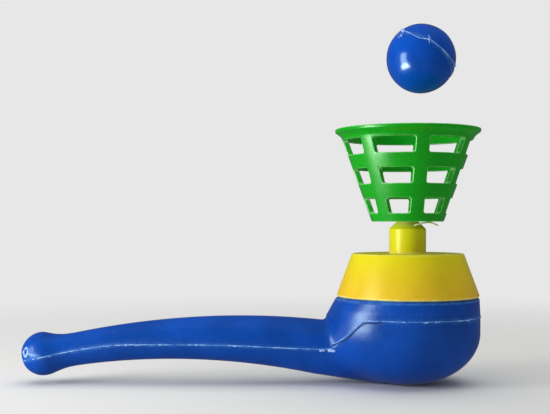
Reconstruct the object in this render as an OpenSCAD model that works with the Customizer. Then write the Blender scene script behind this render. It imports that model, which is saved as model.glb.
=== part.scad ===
// Floating ball pipe: a hollow pipe, a push-in nozzle cap, a lattice basket and a light ball.
// Millimetres. +Z is up the bowl's axis, the stem runs towards -X, and the origin is the middle of
// the flat under the bowl.

/* [Bowl] */
// Outside radius of the bowl at its widest
bowl_r = 25; // [24:0.1:27]
// How much the bowl draws in from its widest to its mouth
mouth_draw = 0.3; // [0:0.1:0.6]
// Height of the bowl's mouth above the ground
bowl_h = 30.3; // [28:0.1:36]
// Height of the bowl's rounded underside
bowl_round = 18.4; // [14:0.1:20]
// Depth by which the flat under the bowl cuts its round underside
foot_depth = 0.35; // [0.2:0.05:0.8]
// Wall around the round hole in the bowl's mouth that the cap pushes into
mouth_wall = 1.3; // [1.1:0.1:2.2]
// Depth of that hole
mouth_depth = 5.9; // [5.5:0.1:7]

/* [Stem] */
// Distance from the bowl's axis to the middle of the mouthpiece knob
stem_reach = 127.2; // [110:0.1:150]
// Distance from the bowl's axis to the crown of the stem's arch
crown_x = 71; // [65:1:85]
// Height of the stem's centreline at the crown
crown_z = 15.7; // [15:0.1:18]
// Radius of the stem's arch
arch_r = 265; // [240:5:400]
// Distance from the bowl's axis to the end of the stem, where it turns into the bowl
heel_x = 31.6; // [30.5:0.1:34]
// Radius of the stem at the knob
neck_r = 5.4; // [4.8:0.1:6.2]
// Radius of the stem where it meets the bowl
heel_r = 9.5; // [8.5:0.1:10.4]
// How far the stem's taper is put off towards the bowl, where 1 is an even taper
taper_power = 1.2; // [1:0.1:2]
// Radius of the inside corner between stem and bowl
heel_fillet = 1.5; // [1:0.1:2.5]
// Softness of the line where stem and bowl merge at the sides
elbow_blend = 5; // [1:0.5:8]
// Wall of the pipe
pipe_wall = 1.3; // [0.9:0.1:1.6]

/* [Mouthpiece] */
// Radius of the mouthpiece knob
knob_r = 7.6; // [7:0.1:9]
// Distance from the knob's middle to its flat end
knob_end = 6.9; // [6.3:0.1:6.9]
// Height of the knob's middle above the stem's centreline
knob_lift = 0.6; // [0:0.1:1.5]
// Softness of the corner between knob and stem
knob_fillet = 2.4; // [0.5:0.1:4]
// Radius of the air hole in the mouthpiece
air_hole_r = 2; // [1.2:0.1:2.6]
// Length of the air hole
air_hole_len = 2.5; // [1.5:0.1:4]

/* [Moulding seam] */
// Height at which the seam runs level along the stem
stem_seam_z = 14.1; // [13.2:0.1:15.5]
// Softness of the bend where it levels off, behind the knob
seam_ease = 0.8; // [0.1:0.1:1.2]
// How far it falls from the stem's crown to the foot of its step
seam_fall = 1.25; // [0:0.05:1.5]
// Distance from the bowl's axis to the foot of the seam's step
seam_foot_x = 27; // [26:0.5:31]
// Distance from the bowl's axis to the top of the seam's step
seam_top_x = 17.5; // [15:0.5:22]
// How far the seam stands proud
seam_proud = 0.3; // [0.15:0.05:0.5]
// Width of the seam
seam_w = 0.5; // [0.3:0.1:0.9]

/* [Cap] */
// How far the edge of the cap's skirt stands past the bowl's mouth
cap_proud = 0.2; // [0:0.1:1]
// How much the cap's cone narrows from its skirt to its flat top
cap_taper = 5.5; // [3:0.1:8]
// Height of the cone from the bowl's mouth to the cap's top
cap_h = 15; // [12:0.1:19]
// Wall of the cap
cap_wall = 1.3; // [1:0.1:1.8]
// Length of the plug that sits in the bowl's mouth
plug_len = 5; // [3:0.1:5.4]
// Radial gap of the plug in the bowl's mouth
plug_gap = 0.05; // [0.03:0.01:0.1]
// Outside radius of the nozzle tube
tube_r = 6.4; // [6:0.1:8]
// Length of the nozzle tube's straight part
tube_len = 8.5; // [5:0.1:14]
// Outside radius of the spigot that carries the basket
spigot_r = 3.8; // [3.6:0.1:4.4]
// Radius of the jet hole
jet_r = 2.5; // [1.5:0.1:2.7]
// Height of the spigot above the basket's floor
spigot_proud = 0.6; // [0.3:0.1:1.5]

/* [Basket] */
// Outside radius of the basket's cone at its floor
basket_r = 12.5; // [11.5:0.1:14]
// Height of the basket
basket_h = 32.2; // [29:0.1:40]
// Wall of the basket
basket_wall = 1.9; // [1.2:0.1:2.2]
// Thickness of the basket's floor
floor_t = 1.4; // [1:0.1:2]
// Radial gap between the basket's floor and the spigot
spigot_gap = 0.05; // [0.03:0.01:0.1]
// How far the basket's rim stands past the cap's skirt
rim_proud = 0.4; // [-1:0.1:4]
// Width of the rim's flange around the basket's cone
rim_flange = 1.6; // [1:0.1:3]
// Thickness of the rim's lip
rim_t = 1.1; // [0.8:0.1:2.4]
// Height of the flare that leads from the basket's cone out to the lip
rim_flare = 2.1; // [0.5:0.1:2.5]
// Upright ribs around the basket
ribs = 7; // [5:1:9]
// Width of an upright rib
rib_w = 4.8; // [3:0.1:6]
// Angle by which the nearest rib is turned from the front
rib_turn = 6; // [0:1:25]
// Rows of windows
rows = 3; // [1:1:3]
// Height of a window
window_h = 5.2; // [3:0.1:6.5]
// Height of the first row of windows above the basket's underside
window_z = 2.9; // [2.2:0.1:4]
// Distance from one row of windows to the next
row_step = 10.1; // [9:0.1:10.4]

/* [Ball] */
// Radius of the ball
ball_r = 12.1; // [10:0.1:14]
// Wall of the ball
ball_wall = 0.7; // [0.4:0.1:1.2]
// How far the floating ball stands aside from the bowl's axis
ball_x = 4.7; // [0:0.1:8]
// Height of the floating ball's middle above the basket's rim
ball_lift = 24.8; // [16:0.1:60]
// Radius of the moulding nubs on the ball's seam
nub_r = 0.6; // [0.3:0.1:1]
// How far the nubs stand proud
nub_proud = 0.5; // [0.2:0.1:0.8]

/* [Hidden] */
blue = [0.02, 0.24, 0.78];
yellow = [0.98, 0.86, 0.05];
green = [0.05, 0.72, 0.16];
bowl_mouth_r = bowl_r - mouth_draw;
mouth_r = bowl_mouth_r - mouth_wall;
cap_r = bowl_mouth_r + cap_proud;
cap_top_r = cap_r - cap_taper;
rim_r = cap_r + rim_proud;
basket_top_r = rim_r - rim_flange;
over = 1;
tiny = 0.01;
edge_turn = 6;
knob_steps = 8;
stem_steps = 12;
fan_steps = 18;
flare_steps = 4;
flare_turn = 0.4;

// A skin is its inset, its seam's height and the points of a ring on either side of the seam
outer_skin = [0, seam_proud, 8];
hollow_skin = [pipe_wall, 0, 5];

function mix(p, q, t) = p + (q - p) * t;
function smooth(t) = let (s = min(1, max(0, t))) s * s * (3 - 2 * s);
function circle_half(r, d) = sqrt(max(0, r * r - d * d));

// The larger of two sizes, with a soft change from one to the other over a span of k
function blend_max(p, q, k) = max(p, q) + pow(max(0, k - abs(p - q)), 2) / (4 * k);

// The stem's centreline is an arc about a point below the crown, followed by its angle
deg_per_mm = 180 / (PI * arch_r);
function arc_angle(x) = asin((x + crown_x) / arch_r);
function arc_point(a) = [-crown_x + arch_r * sin(a), crown_z - arch_r + arch_r * cos(a)];
function arc_z(x) = crown_z - arch_r + circle_half(arch_r, x + crown_x);
knob_a = arc_angle(-stem_reach);
face_a = knob_a - knob_end * deg_per_mm;
heel_a = arc_angle(-heel_x);

// Radius along the stem: a taper, with the knob's ball blended onto its end
function taper_r(a) = mix(neck_r, heel_r, pow(max(0, (a - knob_a) / (heel_a - knob_a)), taper_power));
function stem_r(a) =
    let (d = (a - knob_a) / deg_per_mm, knob = circle_half(knob_r, d), soft = smooth(2 * d / knob_r))
    d < 0 ? knob : blend_max(taper_r(a), knob, max(tiny, knob_fillet * soft));

// The knob's ball stands above the centreline by the knob's lift
function lift(a) = knob_lift * (1 - smooth((a - knob_a) / deg_per_mm / knob_r));
function stem_point(a) = arc_point(a) + lift(a) * [sin(a), cos(a)];

// The elbow's sections are a fan about a pivot in the inside corner between stem and bowl
heel_mid = arc_point(heel_a);
pivot = heel_mid + (heel_r + heel_fillet) * [sin(heel_a), cos(heel_a)];
fan_start = -90 - heel_a;
bowl_mid_z = bowl_round - foot_depth;
flare = -pivot[0] - heel_fillet - bowl_r;

// Below the fan, a straight keel runs from the stem to the flat foot
keel_start = heel_mid - heel_r * [sin(heel_a), cos(heel_a)];
keel_end = [-bowl_r / 3, -foot_depth];
keel_run = keel_end - keel_start;

// How far it is from the pivot to a line, along a ray at angle d from +X
function ray_line(d, start, run) =
    let (out = start - pivot)
    (out[0] * run[1] - out[1] * run[0]) / (cos(d) * run[1] - sin(d) * run[0]);

// How far the pipe reaches from the pivot along such a ray
function ray_round(d) =
    let (px = pivot[0] / bowl_r, pz = (pivot[1] - bowl_mid_z) / bowl_round,
         ux = cos(d) / bowl_r, uz = sin(d) / bowl_round,
         a = ux * ux + uz * uz, b = px * ux + pz * uz, c = px * px + pz * pz - 1)
    (-b + sqrt(max(0, b * b - a * c))) / a;
function ray_wall(d) = (bowl_r - pivot[0]) / cos(d);
keel_aim = atan2(keel_end[1] - pivot[1], keel_end[0] - pivot[0]);
wall_aim = atan2(bowl_mid_z - pivot[1], bowl_r - pivot[0]);
function ray_out(d) =
    d > wall_aim ? ray_wall(d) :
    d > keel_aim ? ray_round(d) : max(ray_line(d, keel_start, keel_run), ray_round(d));

// The seam follows the stem's middle, levels off under its arch, falls a little and steps up to
// run round the bowl
function seam_level(x) =
    x < -crown_x ? -blend_max(-arc_z(x), -stem_seam_z, seam_ease) :
    stem_seam_z - seam_fall * smooth((x + crown_x) / (crown_x - seam_foot_x));
seam_heel = [-heel_x, seam_level(-heel_x)];
seam_foot = [-seam_foot_x, seam_level(-seam_foot_x)];
seam_top = [-seam_top_x, pivot[1]];
foot_aim = atan2(seam_foot[1] - pivot[1], seam_foot[0] - pivot[0]);
function ray_seam(d) =
    d < foot_aim ? ray_line(d, seam_foot, seam_foot - seam_heel) : ray_line(d, seam_foot, seam_top - seam_foot);

// The bowl is round, and its side towards the stem is stretched by the flare
function mouth_share(z) = max(0, (z - pivot[1]) / (bowl_h - pivot[1]));
function bowl_radius(z) =
    z < bowl_mid_z ? bowl_r * circle_half(1, (bowl_mid_z - z) / bowl_round) : mix(bowl_r, bowl_mouth_r, mouth_share(z));
function bowl_stretch(z) = 1 + (1 - mouth_share(z)) * flare / bowl_r;
function bowl_half(x, z) = circle_half(bowl_radius(z), x < 0 ? x / bowl_stretch(z) : x);

// A ring is a section of the pipe: down its one side and up the other, with a point on each seam
function turn(i, seam, half_w, n) =
    i < n ? mix(edge_turn, seam - half_w, i / (n - 1)) :
    i == n ? seam : mix(seam + half_w, 180 - edge_turn, (i - n - 1) / (n - 1));
function both_sides(half_ring) = concat(half_ring, [for (i = [len(half_ring) - 1:-1:0]) mirrored(half_ring[i])]);
function mirrored(p) = [p[0], -p[1], p[2]];
function turn_for(size) = seam_w / 2 / size * 180 / PI;

function stem_ring(a, skin) =
    let (c = stem_point(a), r = stem_r(a), up = (seam_level(c[0]) - c[1]) / r, seam = acos(max(-1, min(1, up))))
    both_sides([for (i = [0:2 * skin[2]])
        let (v = turn(i, seam, turn_for(r), skin[2]), out = r - skin[0] + (i == skin[2] ? skin[1] : 0))
        [c[0] + out * cos(v) * sin(a), out * sin(v), c[1] + out * cos(v) * cos(a)]]);

function fan_ring(d, skin) =
    let (far = ray_out(d), mid = (heel_fillet + far) / 2, half = mid - heel_fillet,
         seam = acos((mid - ray_seam(d)) / half))
    both_sides([for (i = [0:2 * skin[2]])
        let (v = turn(i, seam, turn_for(half), skin[2]), s = sin(v), reach = mid - half * cos(v),
             on_seam = i == skin[2] || (d == 0 && i > skin[2]), out = (on_seam ? skin[1] : 0) - skin[0],
             wide = bowl_half(pivot[0] + reach * cos(d), pivot[1] + reach * sin(d)),
             w = blend_max(heel_r * s, wide, max(tiny, -elbow_blend * s * sin(d))))
        [pivot[0] + (reach - out * cos(v)) * cos(d), w + out * s, pivot[1] + (reach - out * cos(v)) * sin(d)]]);

function bowl_ring(z, skin) =
    let (right = bowl_radius(z), left = right * bowl_stretch(z), half = (left + right) / 2,
         seam = acos((half - left + seam_top_x) / half))
    both_sides([for (i = [0:2 * skin[2]])
        let (x = half - left - half * cos(turn(i, seam, turn_for(half), skin[2]))) [x, bowl_half(x, z), z]]);

knob_span = (knob_end + 1.3 * knob_r) * deg_per_mm;
fan_angles = [for (i = [1:fan_steps - 1]) fan_start * (1 - i / fan_steps)];
outer_rings = concat(
    [for (i = [0:knob_steps]) stem_ring(face_a + knob_span * i / knob_steps, outer_skin)],
    [for (i = [1:stem_steps]) stem_ring(mix(face_a + knob_span, heel_a, i / stem_steps), outer_skin)],
    [for (d = fan_angles) fan_ring(d, outer_skin)],
    [bowl_ring(pivot[1] - seam_w / 2, outer_skin), fan_ring(0, outer_skin)],
    [for (z = [pivot[1] + seam_w / 2, (pivot[1] + bowl_h) / 2, bowl_h]) bowl_ring(z, outer_skin)]
);

// The hollow starts behind the air hole and ends inside the mouth's hole
hollow_a = face_a + air_hole_len * deg_per_mm;
mouth_floor = bowl_h - mouth_depth;
function throat_ring(r, z, n) = both_sides([for (i = [0:2 * n]) let (v = 180 * (i + 0.5) / (2 * n + 1))
    [-r * cos(v), r * sin(v), z]]);
hollow_rings = concat(
    [for (i = [0:stem_steps]) stem_ring(mix(hollow_a, heel_a, i / stem_steps), hollow_skin)],
    [for (d = fan_angles) fan_ring(d, hollow_skin)],
    [fan_ring(0, hollow_skin), throat_ring(mouth_r - over, mouth_floor + over, hollow_skin[2])]
);

// A closed skin through a list of rings
module skin(rings) {
    sides = len(rings[0]);
    last = len(rings) - 1;
    faces = concat(
        [[for (i = [sides - 1:-1:0]) i]],
        [for (k = [0:last - 1], i = [0:sides - 1]) let (j = (i + 1) % sides, p = k * sides, q = p + sides)
            each [[p + i, q + j, q + i], [p + i, p + j, q + j]]],
        [[for (i = [0:sides - 1]) last * sides + i]]
    );
    polyhedron([for (r = rings) each r], faces);
}

module pipe_body() {
    face = stem_point(face_a);
    color(blue) difference() {
        skin(outer_rings);
        skin(hollow_rings);
        translate([0, 0, mouth_floor]) cylinder(r = mouth_r, h = mouth_depth + over, $fn = 96);
        translate([face[0], 0, face[1]]) rotate([0, 90 + face_a, 0]) translate([0, 0, -over])
            cylinder(r = air_hole_r, h = air_hole_len + 2 * over, $fn = 48);
        translate([-bowl_r, -bowl_r, -2 * over]) cube([2 * bowl_r, 2 * bowl_r, 2 * over]);
    }
}

tube_z = bowl_h + cap_h;
shoulder_z = tube_z + tube_len;
basket_z = shoulder_z + tube_r - spigot_r;
spigot_top = basket_z + floor_t + spigot_proud;

module nozzle_cap() {
    plug_r = mouth_r - plug_gap;
    plug_bore = plug_r - cap_wall;
    plug_z = bowl_h - plug_len;
    cone_slope = (cap_r - cap_top_r) / cap_h;
    cone_bore_z = bowl_h + (cap_r - cap_wall - plug_bore) / cone_slope;
    tube_bore = tube_r - cap_wall;
    roof_z = tube_z - cap_wall;
    color(yellow) rotate_extrude($fn = 96) polygon([
        [cap_r, bowl_h], [cap_top_r, tube_z], [tube_r, tube_z], [tube_r, shoulder_z],
        [spigot_r, basket_z], [spigot_r, spigot_top], [jet_r, spigot_top],
        [jet_r, basket_z - cap_wall], [tube_bore, shoulder_z - cap_wall], [tube_bore, roof_z],
        [cap_top_r + cone_slope * cap_wall - cap_wall, roof_z], [plug_bore, cone_bore_z],
        [plug_bore, plug_z], [plug_r, plug_z], [plug_r, bowl_h]
    ]);
}

module ball_basket() {
    slope = (basket_top_r - basket_r) / (basket_h - rim_t);
    rim_z = basket_z + basket_h;
    hub_r = spigot_r + spigot_gap;
    flare_z = basket_h - rim_t - rim_flare;
    turn_z = flare_z + flare_turn * rim_flare;
    foot = [basket_r + slope * flare_z, basket_z + flare_z];
    bend = [basket_r + slope * turn_z, basket_z + turn_z];
    lip = [rim_r, rim_z - rim_t];
    color(green) difference() {
        rotate_extrude($fn = 96) polygon([
            [hub_r, basket_z], [basket_r, basket_z],
            for (i = [0:flare_steps]) let (t = i / flare_steps) mix(mix(foot, bend, t), mix(bend, lip, t), t),
            [rim_r, rim_z],
            [basket_top_r + slope * rim_t - basket_wall, rim_z],
            [basket_r + slope * floor_t - basket_wall, basket_z + floor_t], [hub_r, basket_z + floor_t]
        ]);
        difference() {
            for (row = [0:rows - 1]) translate([0, 0, basket_z + window_z + row * row_step])
                rotate_extrude($fn = 96) translate([basket_r - 2 * basket_wall, 0])
                    square([basket_top_r, window_h]);
            for (k = [0:ribs - 1]) rotate(rib_turn - 90 + 360 * k / ribs)
                translate([0, -rib_w / 2, basket_z]) cube([2 * basket_top_r, rib_w, basket_h]);
        }
    }
}

// The ball's seam is a tilted great circle, with a nub at each end of the stretch that was trimmed
seam_lean = [0, 41, 35];
nub_turns = [176, 307];

module ball() {
    root_r = ball_r - ball_wall / 2;
    color(blue) translate([ball_x, 0, basket_z + basket_h + ball_lift]) rotate(seam_lean) difference() {
        union() {
            sphere(ball_r, $fn = 96);
            rotate_extrude($fn = 96) translate([root_r, -seam_w / 2]) square([ball_r + seam_proud - root_r, seam_w]);
            for (turn = nub_turns) rotate([0, 90, turn]) cylinder(r = nub_r, h = ball_r + nub_proud, $fn = 24);
        }
        sphere(ball_r - ball_wall, $fn = 96);
    }
}

pipe_body();
nozzle_cap();
ball_basket();
ball();
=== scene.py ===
"""Looks of a floating ball pipe: a moulded pipe, a nozzle cap, a lattice basket and a light ball.

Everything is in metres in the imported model's frame: +Z up the bowl's axis, the stem towards -X,
and the origin in the middle of the flat under the bowl.
"""

from __future__ import annotations

import logging
import math
from dataclasses import dataclass
from enum import Enum
from typing import Mapping, Sequence, Union

import bmesh
import bpy
import numpy as np
from mathutils import Matrix, Vector, noise
from mathutils.bvhtree import BVHTree

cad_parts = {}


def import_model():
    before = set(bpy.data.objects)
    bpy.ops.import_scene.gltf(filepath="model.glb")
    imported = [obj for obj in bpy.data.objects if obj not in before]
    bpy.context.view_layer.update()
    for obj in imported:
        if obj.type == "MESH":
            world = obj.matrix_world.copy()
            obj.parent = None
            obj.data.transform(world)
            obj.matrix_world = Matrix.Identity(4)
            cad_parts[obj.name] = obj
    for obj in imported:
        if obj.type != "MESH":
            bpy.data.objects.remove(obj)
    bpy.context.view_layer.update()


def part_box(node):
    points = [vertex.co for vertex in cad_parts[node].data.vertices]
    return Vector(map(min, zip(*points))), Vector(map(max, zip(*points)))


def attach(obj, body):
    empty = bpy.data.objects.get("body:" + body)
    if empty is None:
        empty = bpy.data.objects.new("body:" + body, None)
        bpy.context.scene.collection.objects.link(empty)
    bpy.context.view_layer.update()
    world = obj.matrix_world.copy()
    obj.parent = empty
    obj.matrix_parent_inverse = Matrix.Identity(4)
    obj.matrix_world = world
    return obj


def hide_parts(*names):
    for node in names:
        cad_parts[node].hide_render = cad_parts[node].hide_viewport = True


LOG = logging.getLogger("ball_pipe")
MM = 0.001
EDGE, SEAM, THICKNESS = "edge", "seam", "thickness"

Array = np.ndarray
Material = bpy.types.Material
Mesh = bpy.types.Mesh
Object = bpy.types.Object
Key = Union[int, str]
Pair = tuple[float, float]
Point = tuple[float, float, float]
Colour = tuple[float, float, float]
Face = tuple[int, ...]


class Body(Enum):
    """The rigid bodies that pieces ride on."""

    PIPE = "pipe"
    BASKET = "basket"
    BALL = "ball"


class Slot(Enum):
    """The record's material slots."""

    BLUE = "blue_plastic"
    YELLOW = "yellow_plastic"
    GREEN = "green_plastic"
    BALL = "ball_plastic"


class Shift(Enum):
    """Shifts, in metres, that make a material's noises differ from each other."""

    NONE = (0.0, 0.0, 0.0)
    CLOUD = (0.3, 0.1, 0.7)
    GRAIN = (0.1, 0.9, 0.4)
    PATCH = (0.5, 0.2, 0.8)
    PEEL = (0.9, 0.4, 0.2)
    WAVE = (0.2, 0.6, 0.1)
    DASH = (0.7, 0.3, 0.3)
    FLECK = (0.2, 0.8, 0.5)


class Value:
    """An output socket that can be used in Python expressions."""

    def __init__(self, graph: Graph, socket: bpy.types.NodeSocket) -> None:
        """Wraps a socket of a graph."""
        self.graph, self.socket = graph, socket

    def math(self, operation: str, *operands: Operand) -> Value:
        """Adds a Math node with these inputs."""
        node = self.graph.add("ShaderNodeMath", dict(enumerate(operands)), operation=operation)
        return node["Value"]

    def __add__(self, other: Operand) -> Value:
        """This value plus another."""
        return self.math("ADD", self, other)

    def __sub__(self, other: Operand) -> Value:
        """This value minus another."""
        return self.math("SUBTRACT", self, other)

    def __rsub__(self, other: Operand) -> Value:
        """A number minus this value."""
        return self.math("SUBTRACT", other, self)

    def __mul__(self, other: Operand) -> Value:
        """This value times another."""
        return self.math("MULTIPLY", self, other)

    def __truediv__(self, other: Operand) -> Value:
        """This value over another."""
        return self.math("DIVIDE", self, other)

    def __rtruediv__(self, other: Operand) -> Value:
        """A number over this value."""
        return self.math("DIVIDE", other, self)

    def __lt__(self, other: Operand) -> Value:
        """One where this value is the smaller, and otherwise zero."""
        return self.math("LESS_THAN", self, other)

    __radd__ = __add__
    __rmul__ = __mul__

    def rise(self, low: float, high: float) -> Value:
        """A smooth step of this value, from zero at the low end to one at the high end."""
        ends = {0: self, 1: low, 2: high}
        return self.graph.add("ShaderNodeMapRange", ends, interpolation_type="SMOOTHSTEP")["Result"]


Operand = Union[Value, float]


class Placed:
    """A node whose outputs are picked by name."""

    def __init__(self, graph: Graph, node: bpy.types.Node) -> None:
        """Wraps a node of a graph."""
        self.graph, self.node = graph, node

    def __getitem__(self, key: Key) -> Value:
        """One of the node's outputs, as a value."""
        return Value(self.graph, find_socket(self.node.outputs, key))


def find_socket(sockets: Sequence[bpy.types.NodeSocket], key: Key) -> bpy.types.NodeSocket:
    """Finds a socket.

    Args:
        sockets: A node's inputs or outputs.
        key: A position, an identifier or a name.

    Returns:
        The first socket that fits.
    """
    if isinstance(key, int):
        return sockets[key]
    fits = [s for s in sockets if s.identifier == key] or [s for s in sockets if s.name == key]
    return fits[0]


class Graph:
    """A shader or geometry node tree under construction."""

    def __init__(self, tree: bpy.types.NodeTree) -> None:
        """Starts with an empty tree."""
        self.tree = tree
        tree.nodes.clear()

    def add(
        self, kind: str, sockets: Mapping[Key, object] | None = None, **settings: object
    ) -> Placed:
        """Adds any node.

        Args:
            kind: The node's type.
            sockets: Values or links of its inputs, by position, identifier or name.
            settings: Its own settings, which are set first.

        Returns:
            The node.
        """
        node = self.tree.nodes.new(kind)
        for name, value in settings.items():
            setattr(node, name, value)
        for key, value in (sockets or {}).items():
            socket = find_socket(node.inputs, key)
            if isinstance(value, Value):
                self.tree.links.new(value.socket, socket)
            else:
                socket.default_value = value
        return Placed(self, node)

    def noise(
        self, vector: Value, grain: float, detail: float, shift: Shift = Shift.NONE
    ) -> Value:
        """Adds a noise.

        Args:
            vector: Where it is read.
            grain: The size of one of its lumps, in metres.
            detail: How many finer layers it has.
            shift: What makes it differ from another noise.

        Returns:
            The noise, about 0.5 on average.
        """
        moved = self.add("ShaderNodeMapping", {"Vector": vector, "Location": shift.value})["Vector"]
        sockets = {"Vector": moved, "Scale": 1 / grain, "Detail": detail}
        return self.add("ShaderNodeTexNoise", sockets)[0]

    def mix(self, share: Operand, low: object, high: object) -> Value:
        """A mix of two colours, by the share of the second one."""
        sockets = {"Factor_Float": share, "A_Color": as_colour(low), "B_Color": as_colour(high)}
        return self.add("ShaderNodeMix", sockets, data_type="RGBA")["Result_Color"]

    def surface(self, sockets: Mapping[Key, object]) -> None:
        """Ends a material with a Principled shader."""
        shader = self.add("ShaderNodeBsdfPrincipled", sockets)["BSDF"]
        self.add("ShaderNodeOutputMaterial", {"Surface": shader})


def shader_graph(owner: Material | bpy.types.World) -> Graph:
    """Starts the node tree of a material or a world."""
    owner.use_nodes = True
    return Graph(owner.node_tree)


def as_colour(colour: object) -> object:
    """Gives a plain colour its alpha, and leaves a link as it is."""
    return (*colour, 1.0) if isinstance(colour, tuple) else colour


def shade(colour: Colour, factor: float) -> Colour:
    """A colour made lighter or darker by a factor."""
    return tuple(min(1.0, part * factor) for part in colour)


@dataclass(frozen=True)
class MouldedPlastic:
    """Glossy thermoplastic as it leaves a mould and is handled for a while."""

    name: str
    colour: Colour
    pale: Colour
    roughness: float = 0.24
    shine: float = 0.45
    tint: Colour = (1.0, 1.0, 1.0)
    ior: float = 1.5
    cloud_grain: float = 13.0 * MM
    cloud_span: Pair = (0.3, 0.7)
    fleck_grain: float = 0.9 * MM
    fleck_span: Pair = (0.55, 0.8)
    patch_grain: float = 2.2 * MM
    patch_span: Pair = (0.36, 0.64)
    peel_depth: float = 0.04 * MM
    peel_grain: float = 1.5 * MM
    wave_depth: float = 0.05 * MM
    wave_grain: float = 9.0 * MM
    unevenness: float = 0.14
    mottle: float = 0.04
    # Paleness on rounded edges: handling wear, and on the cap and basket painted highlights along
    # the edges.
    edge_wear_and_highlight: float = 0.4
    edge_patches: float = 0.55
    seam_stress: float = 0.3
    seam_patches: float = 0.8
    rough_flecks: float = 0.08
    rough_clouds: float = 0.06
    rough_wear: float = 0.12
    rough_stress: float = 0.18
    scuffs: float = 0.12
    scuff_span: Pair = (0.68, 0.78)
    scuff_pale: float = 0.05
    scuff_depth: float = 0.004 * MM
    scuff_maps: tuple[tuple[Point, Point], ...] = (
        ((0.3, 0.2, 0.5), (1600, 1600, 60)),
        ((0.9, -0.6, 0.1), (1300, 45, 1300)),
    )
    subsurface: float = 0.0
    glow: Point = (2.0 * MM, 1.0 * MM, 0.5 * MM)
    coat: float = 0.03
    coat_roughness: float = 0.09
    # Painted light: a lighter colour mixed in towards the top, between the heights below.
    lit_top_colour: Colour | None = None
    lit_top_span: Pair = (30.0 * MM, 52.0 * MM)

    def build(self) -> Material:
        """Builds the material.

        Returns:
            The finished material.
        """
        material = bpy.data.materials.new(self.name)
        graph = shader_graph(material)
        place = graph.add("ShaderNodeTexCoord")["Object"]
        cloud = graph.noise(place, self.cloud_grain, 3.0, Shift.CLOUD)
        grain = graph.noise(place, self.fleck_grain, 2.0, Shift.GRAIN)
        patchy = graph.noise(place, self.patch_grain, 2.0, Shift.PATCH).rise(*self.patch_span)
        scuff = self._scuffs(graph, place)
        edge = graph.add("ShaderNodeAttribute", attribute_name=EDGE)["Fac"]
        seam = graph.add("ShaderNodeAttribute", attribute_name=SEAM)["Fac"]
        # Pale rounded edges: wear, and painted highlights where a finish sets a strong value.
        worn_and_highlit = edge * self.edge_wear_and_highlight * (1 - self.edge_patches + patchy * self.edge_patches)
        stressed = seam * self.seam_stress * (1 - self.seam_patches + patchy * self.seam_patches)

        low, high = (shade(self.colour, 1 + d) for d in (-self.unevenness, self.unevenness))
        tone = graph.mix(cloud.rise(*self.cloud_span), low, high)
        # Painted light: lighter towards the top, as if lit there.
        if self.lit_top_colour is not None:
            height = graph.add("ShaderNodeSeparateXYZ", {"Vector": place})["Z"]
            tone = graph.mix(height.rise(*self.lit_top_span), tone, self.lit_top_colour)
        specks = grain.rise(*self.fleck_span) * self.mottle
        for share in (specks, worn_and_highlit, stressed, scuff * self.scuff_pale):
            tone = graph.mix(share, tone, self.pale)

        rough = self.roughness + (grain - 0.5) * self.rough_flecks
        rough = rough + (cloud - 0.5) * self.rough_clouds + scuff * self.scuffs
        rough = rough + worn_and_highlit * self.rough_wear + stressed * self.rough_stress
        peel = graph.noise(place, self.peel_grain, 1.5, Shift.PEEL)
        wave = graph.noise(place, self.wave_grain, 1.0, Shift.WAVE)
        height = peel * self.peel_depth + wave * self.wave_depth - scuff * self.scuff_depth
        bump = graph.add("ShaderNodeBump", {"Distance": 1.0, "Height": height})["Normal"]
        graph.surface(
            {
                "Base Color": tone,
                "Roughness": rough,
                "Normal": bump,
                "IOR": self.ior,
                "Specular IOR Level": self.shine,
                "Specular Tint": as_colour(self.tint),
                "Subsurface Weight": self.subsurface,
                "Subsurface Radius": self.glow,
                "Subsurface Scale": 1.0,
                "Coat Weight": self.coat,
                "Coat Roughness": self.coat_roughness,
            }
        )
        return material

    def _scuffs(self, graph: Graph, place: Value) -> Value:
        """Fine scratches in two directions.

        Args:
            graph: The material's graph.
            place: Object coordinates.

        Returns:
            One on a scratch, and zero elsewhere.
        """
        scuff: Operand = 0.0
        for turn, scale in self.scuff_maps:
            sockets = {"Vector": place, "Rotation": turn, "Scale": scale}
            mapped = graph.add("ShaderNodeMapping", sockets)["Vector"]
            sockets = {"Vector": mapped, "Scale": 1.0, "Detail": 1.0}
            scuff = graph.add("ShaderNodeTexNoise", sockets)[0].rise(*self.scuff_span) + scuff
        return scuff


@dataclass(frozen=True)
class StressedFlash:
    """The whitened, ragged plastic that is left along a parting line, and also a dark bead of
    painted shadow.
    """

    name: str
    plain: Colour
    white: Colour
    whitening: float = 0.6
    dash_grain: float = 3.0 * MM
    dash_span: Pair = (0.42, 0.62)
    dash_share: float = 0.65
    fleck_grain: float = 0.5 * MM
    fleck_share: float = 0.5
    fleck_depth: float = 0.05 * MM
    roughness: float = 0.35
    rough_flecks: float = 0.3

    def build(self) -> Material:
        """Builds the material.

        Returns:
            The finished material.
        """
        material = bpy.data.materials.new(self.name)
        graph = shader_graph(material)
        place = graph.add("ShaderNodeTexCoord")["Object"]
        dashes = graph.noise(place, self.dash_grain, 2.0, Shift.DASH).rise(*self.dash_span)
        flecks = graph.noise(place, self.fleck_grain, 2.0, Shift.FLECK)
        white = (dashes * self.dash_share + flecks * self.fleck_share) * self.whitening
        tone = graph.mix(white, self.plain, self.white)
        rough = self.roughness + flecks * self.rough_flecks
        bump = graph.add("ShaderNodeBump", {"Distance": self.fleck_depth, "Height": flecks})
        graph.surface({"Base Color": tone, "Roughness": rough, "Normal": bump["Normal"]})
        return material


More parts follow.
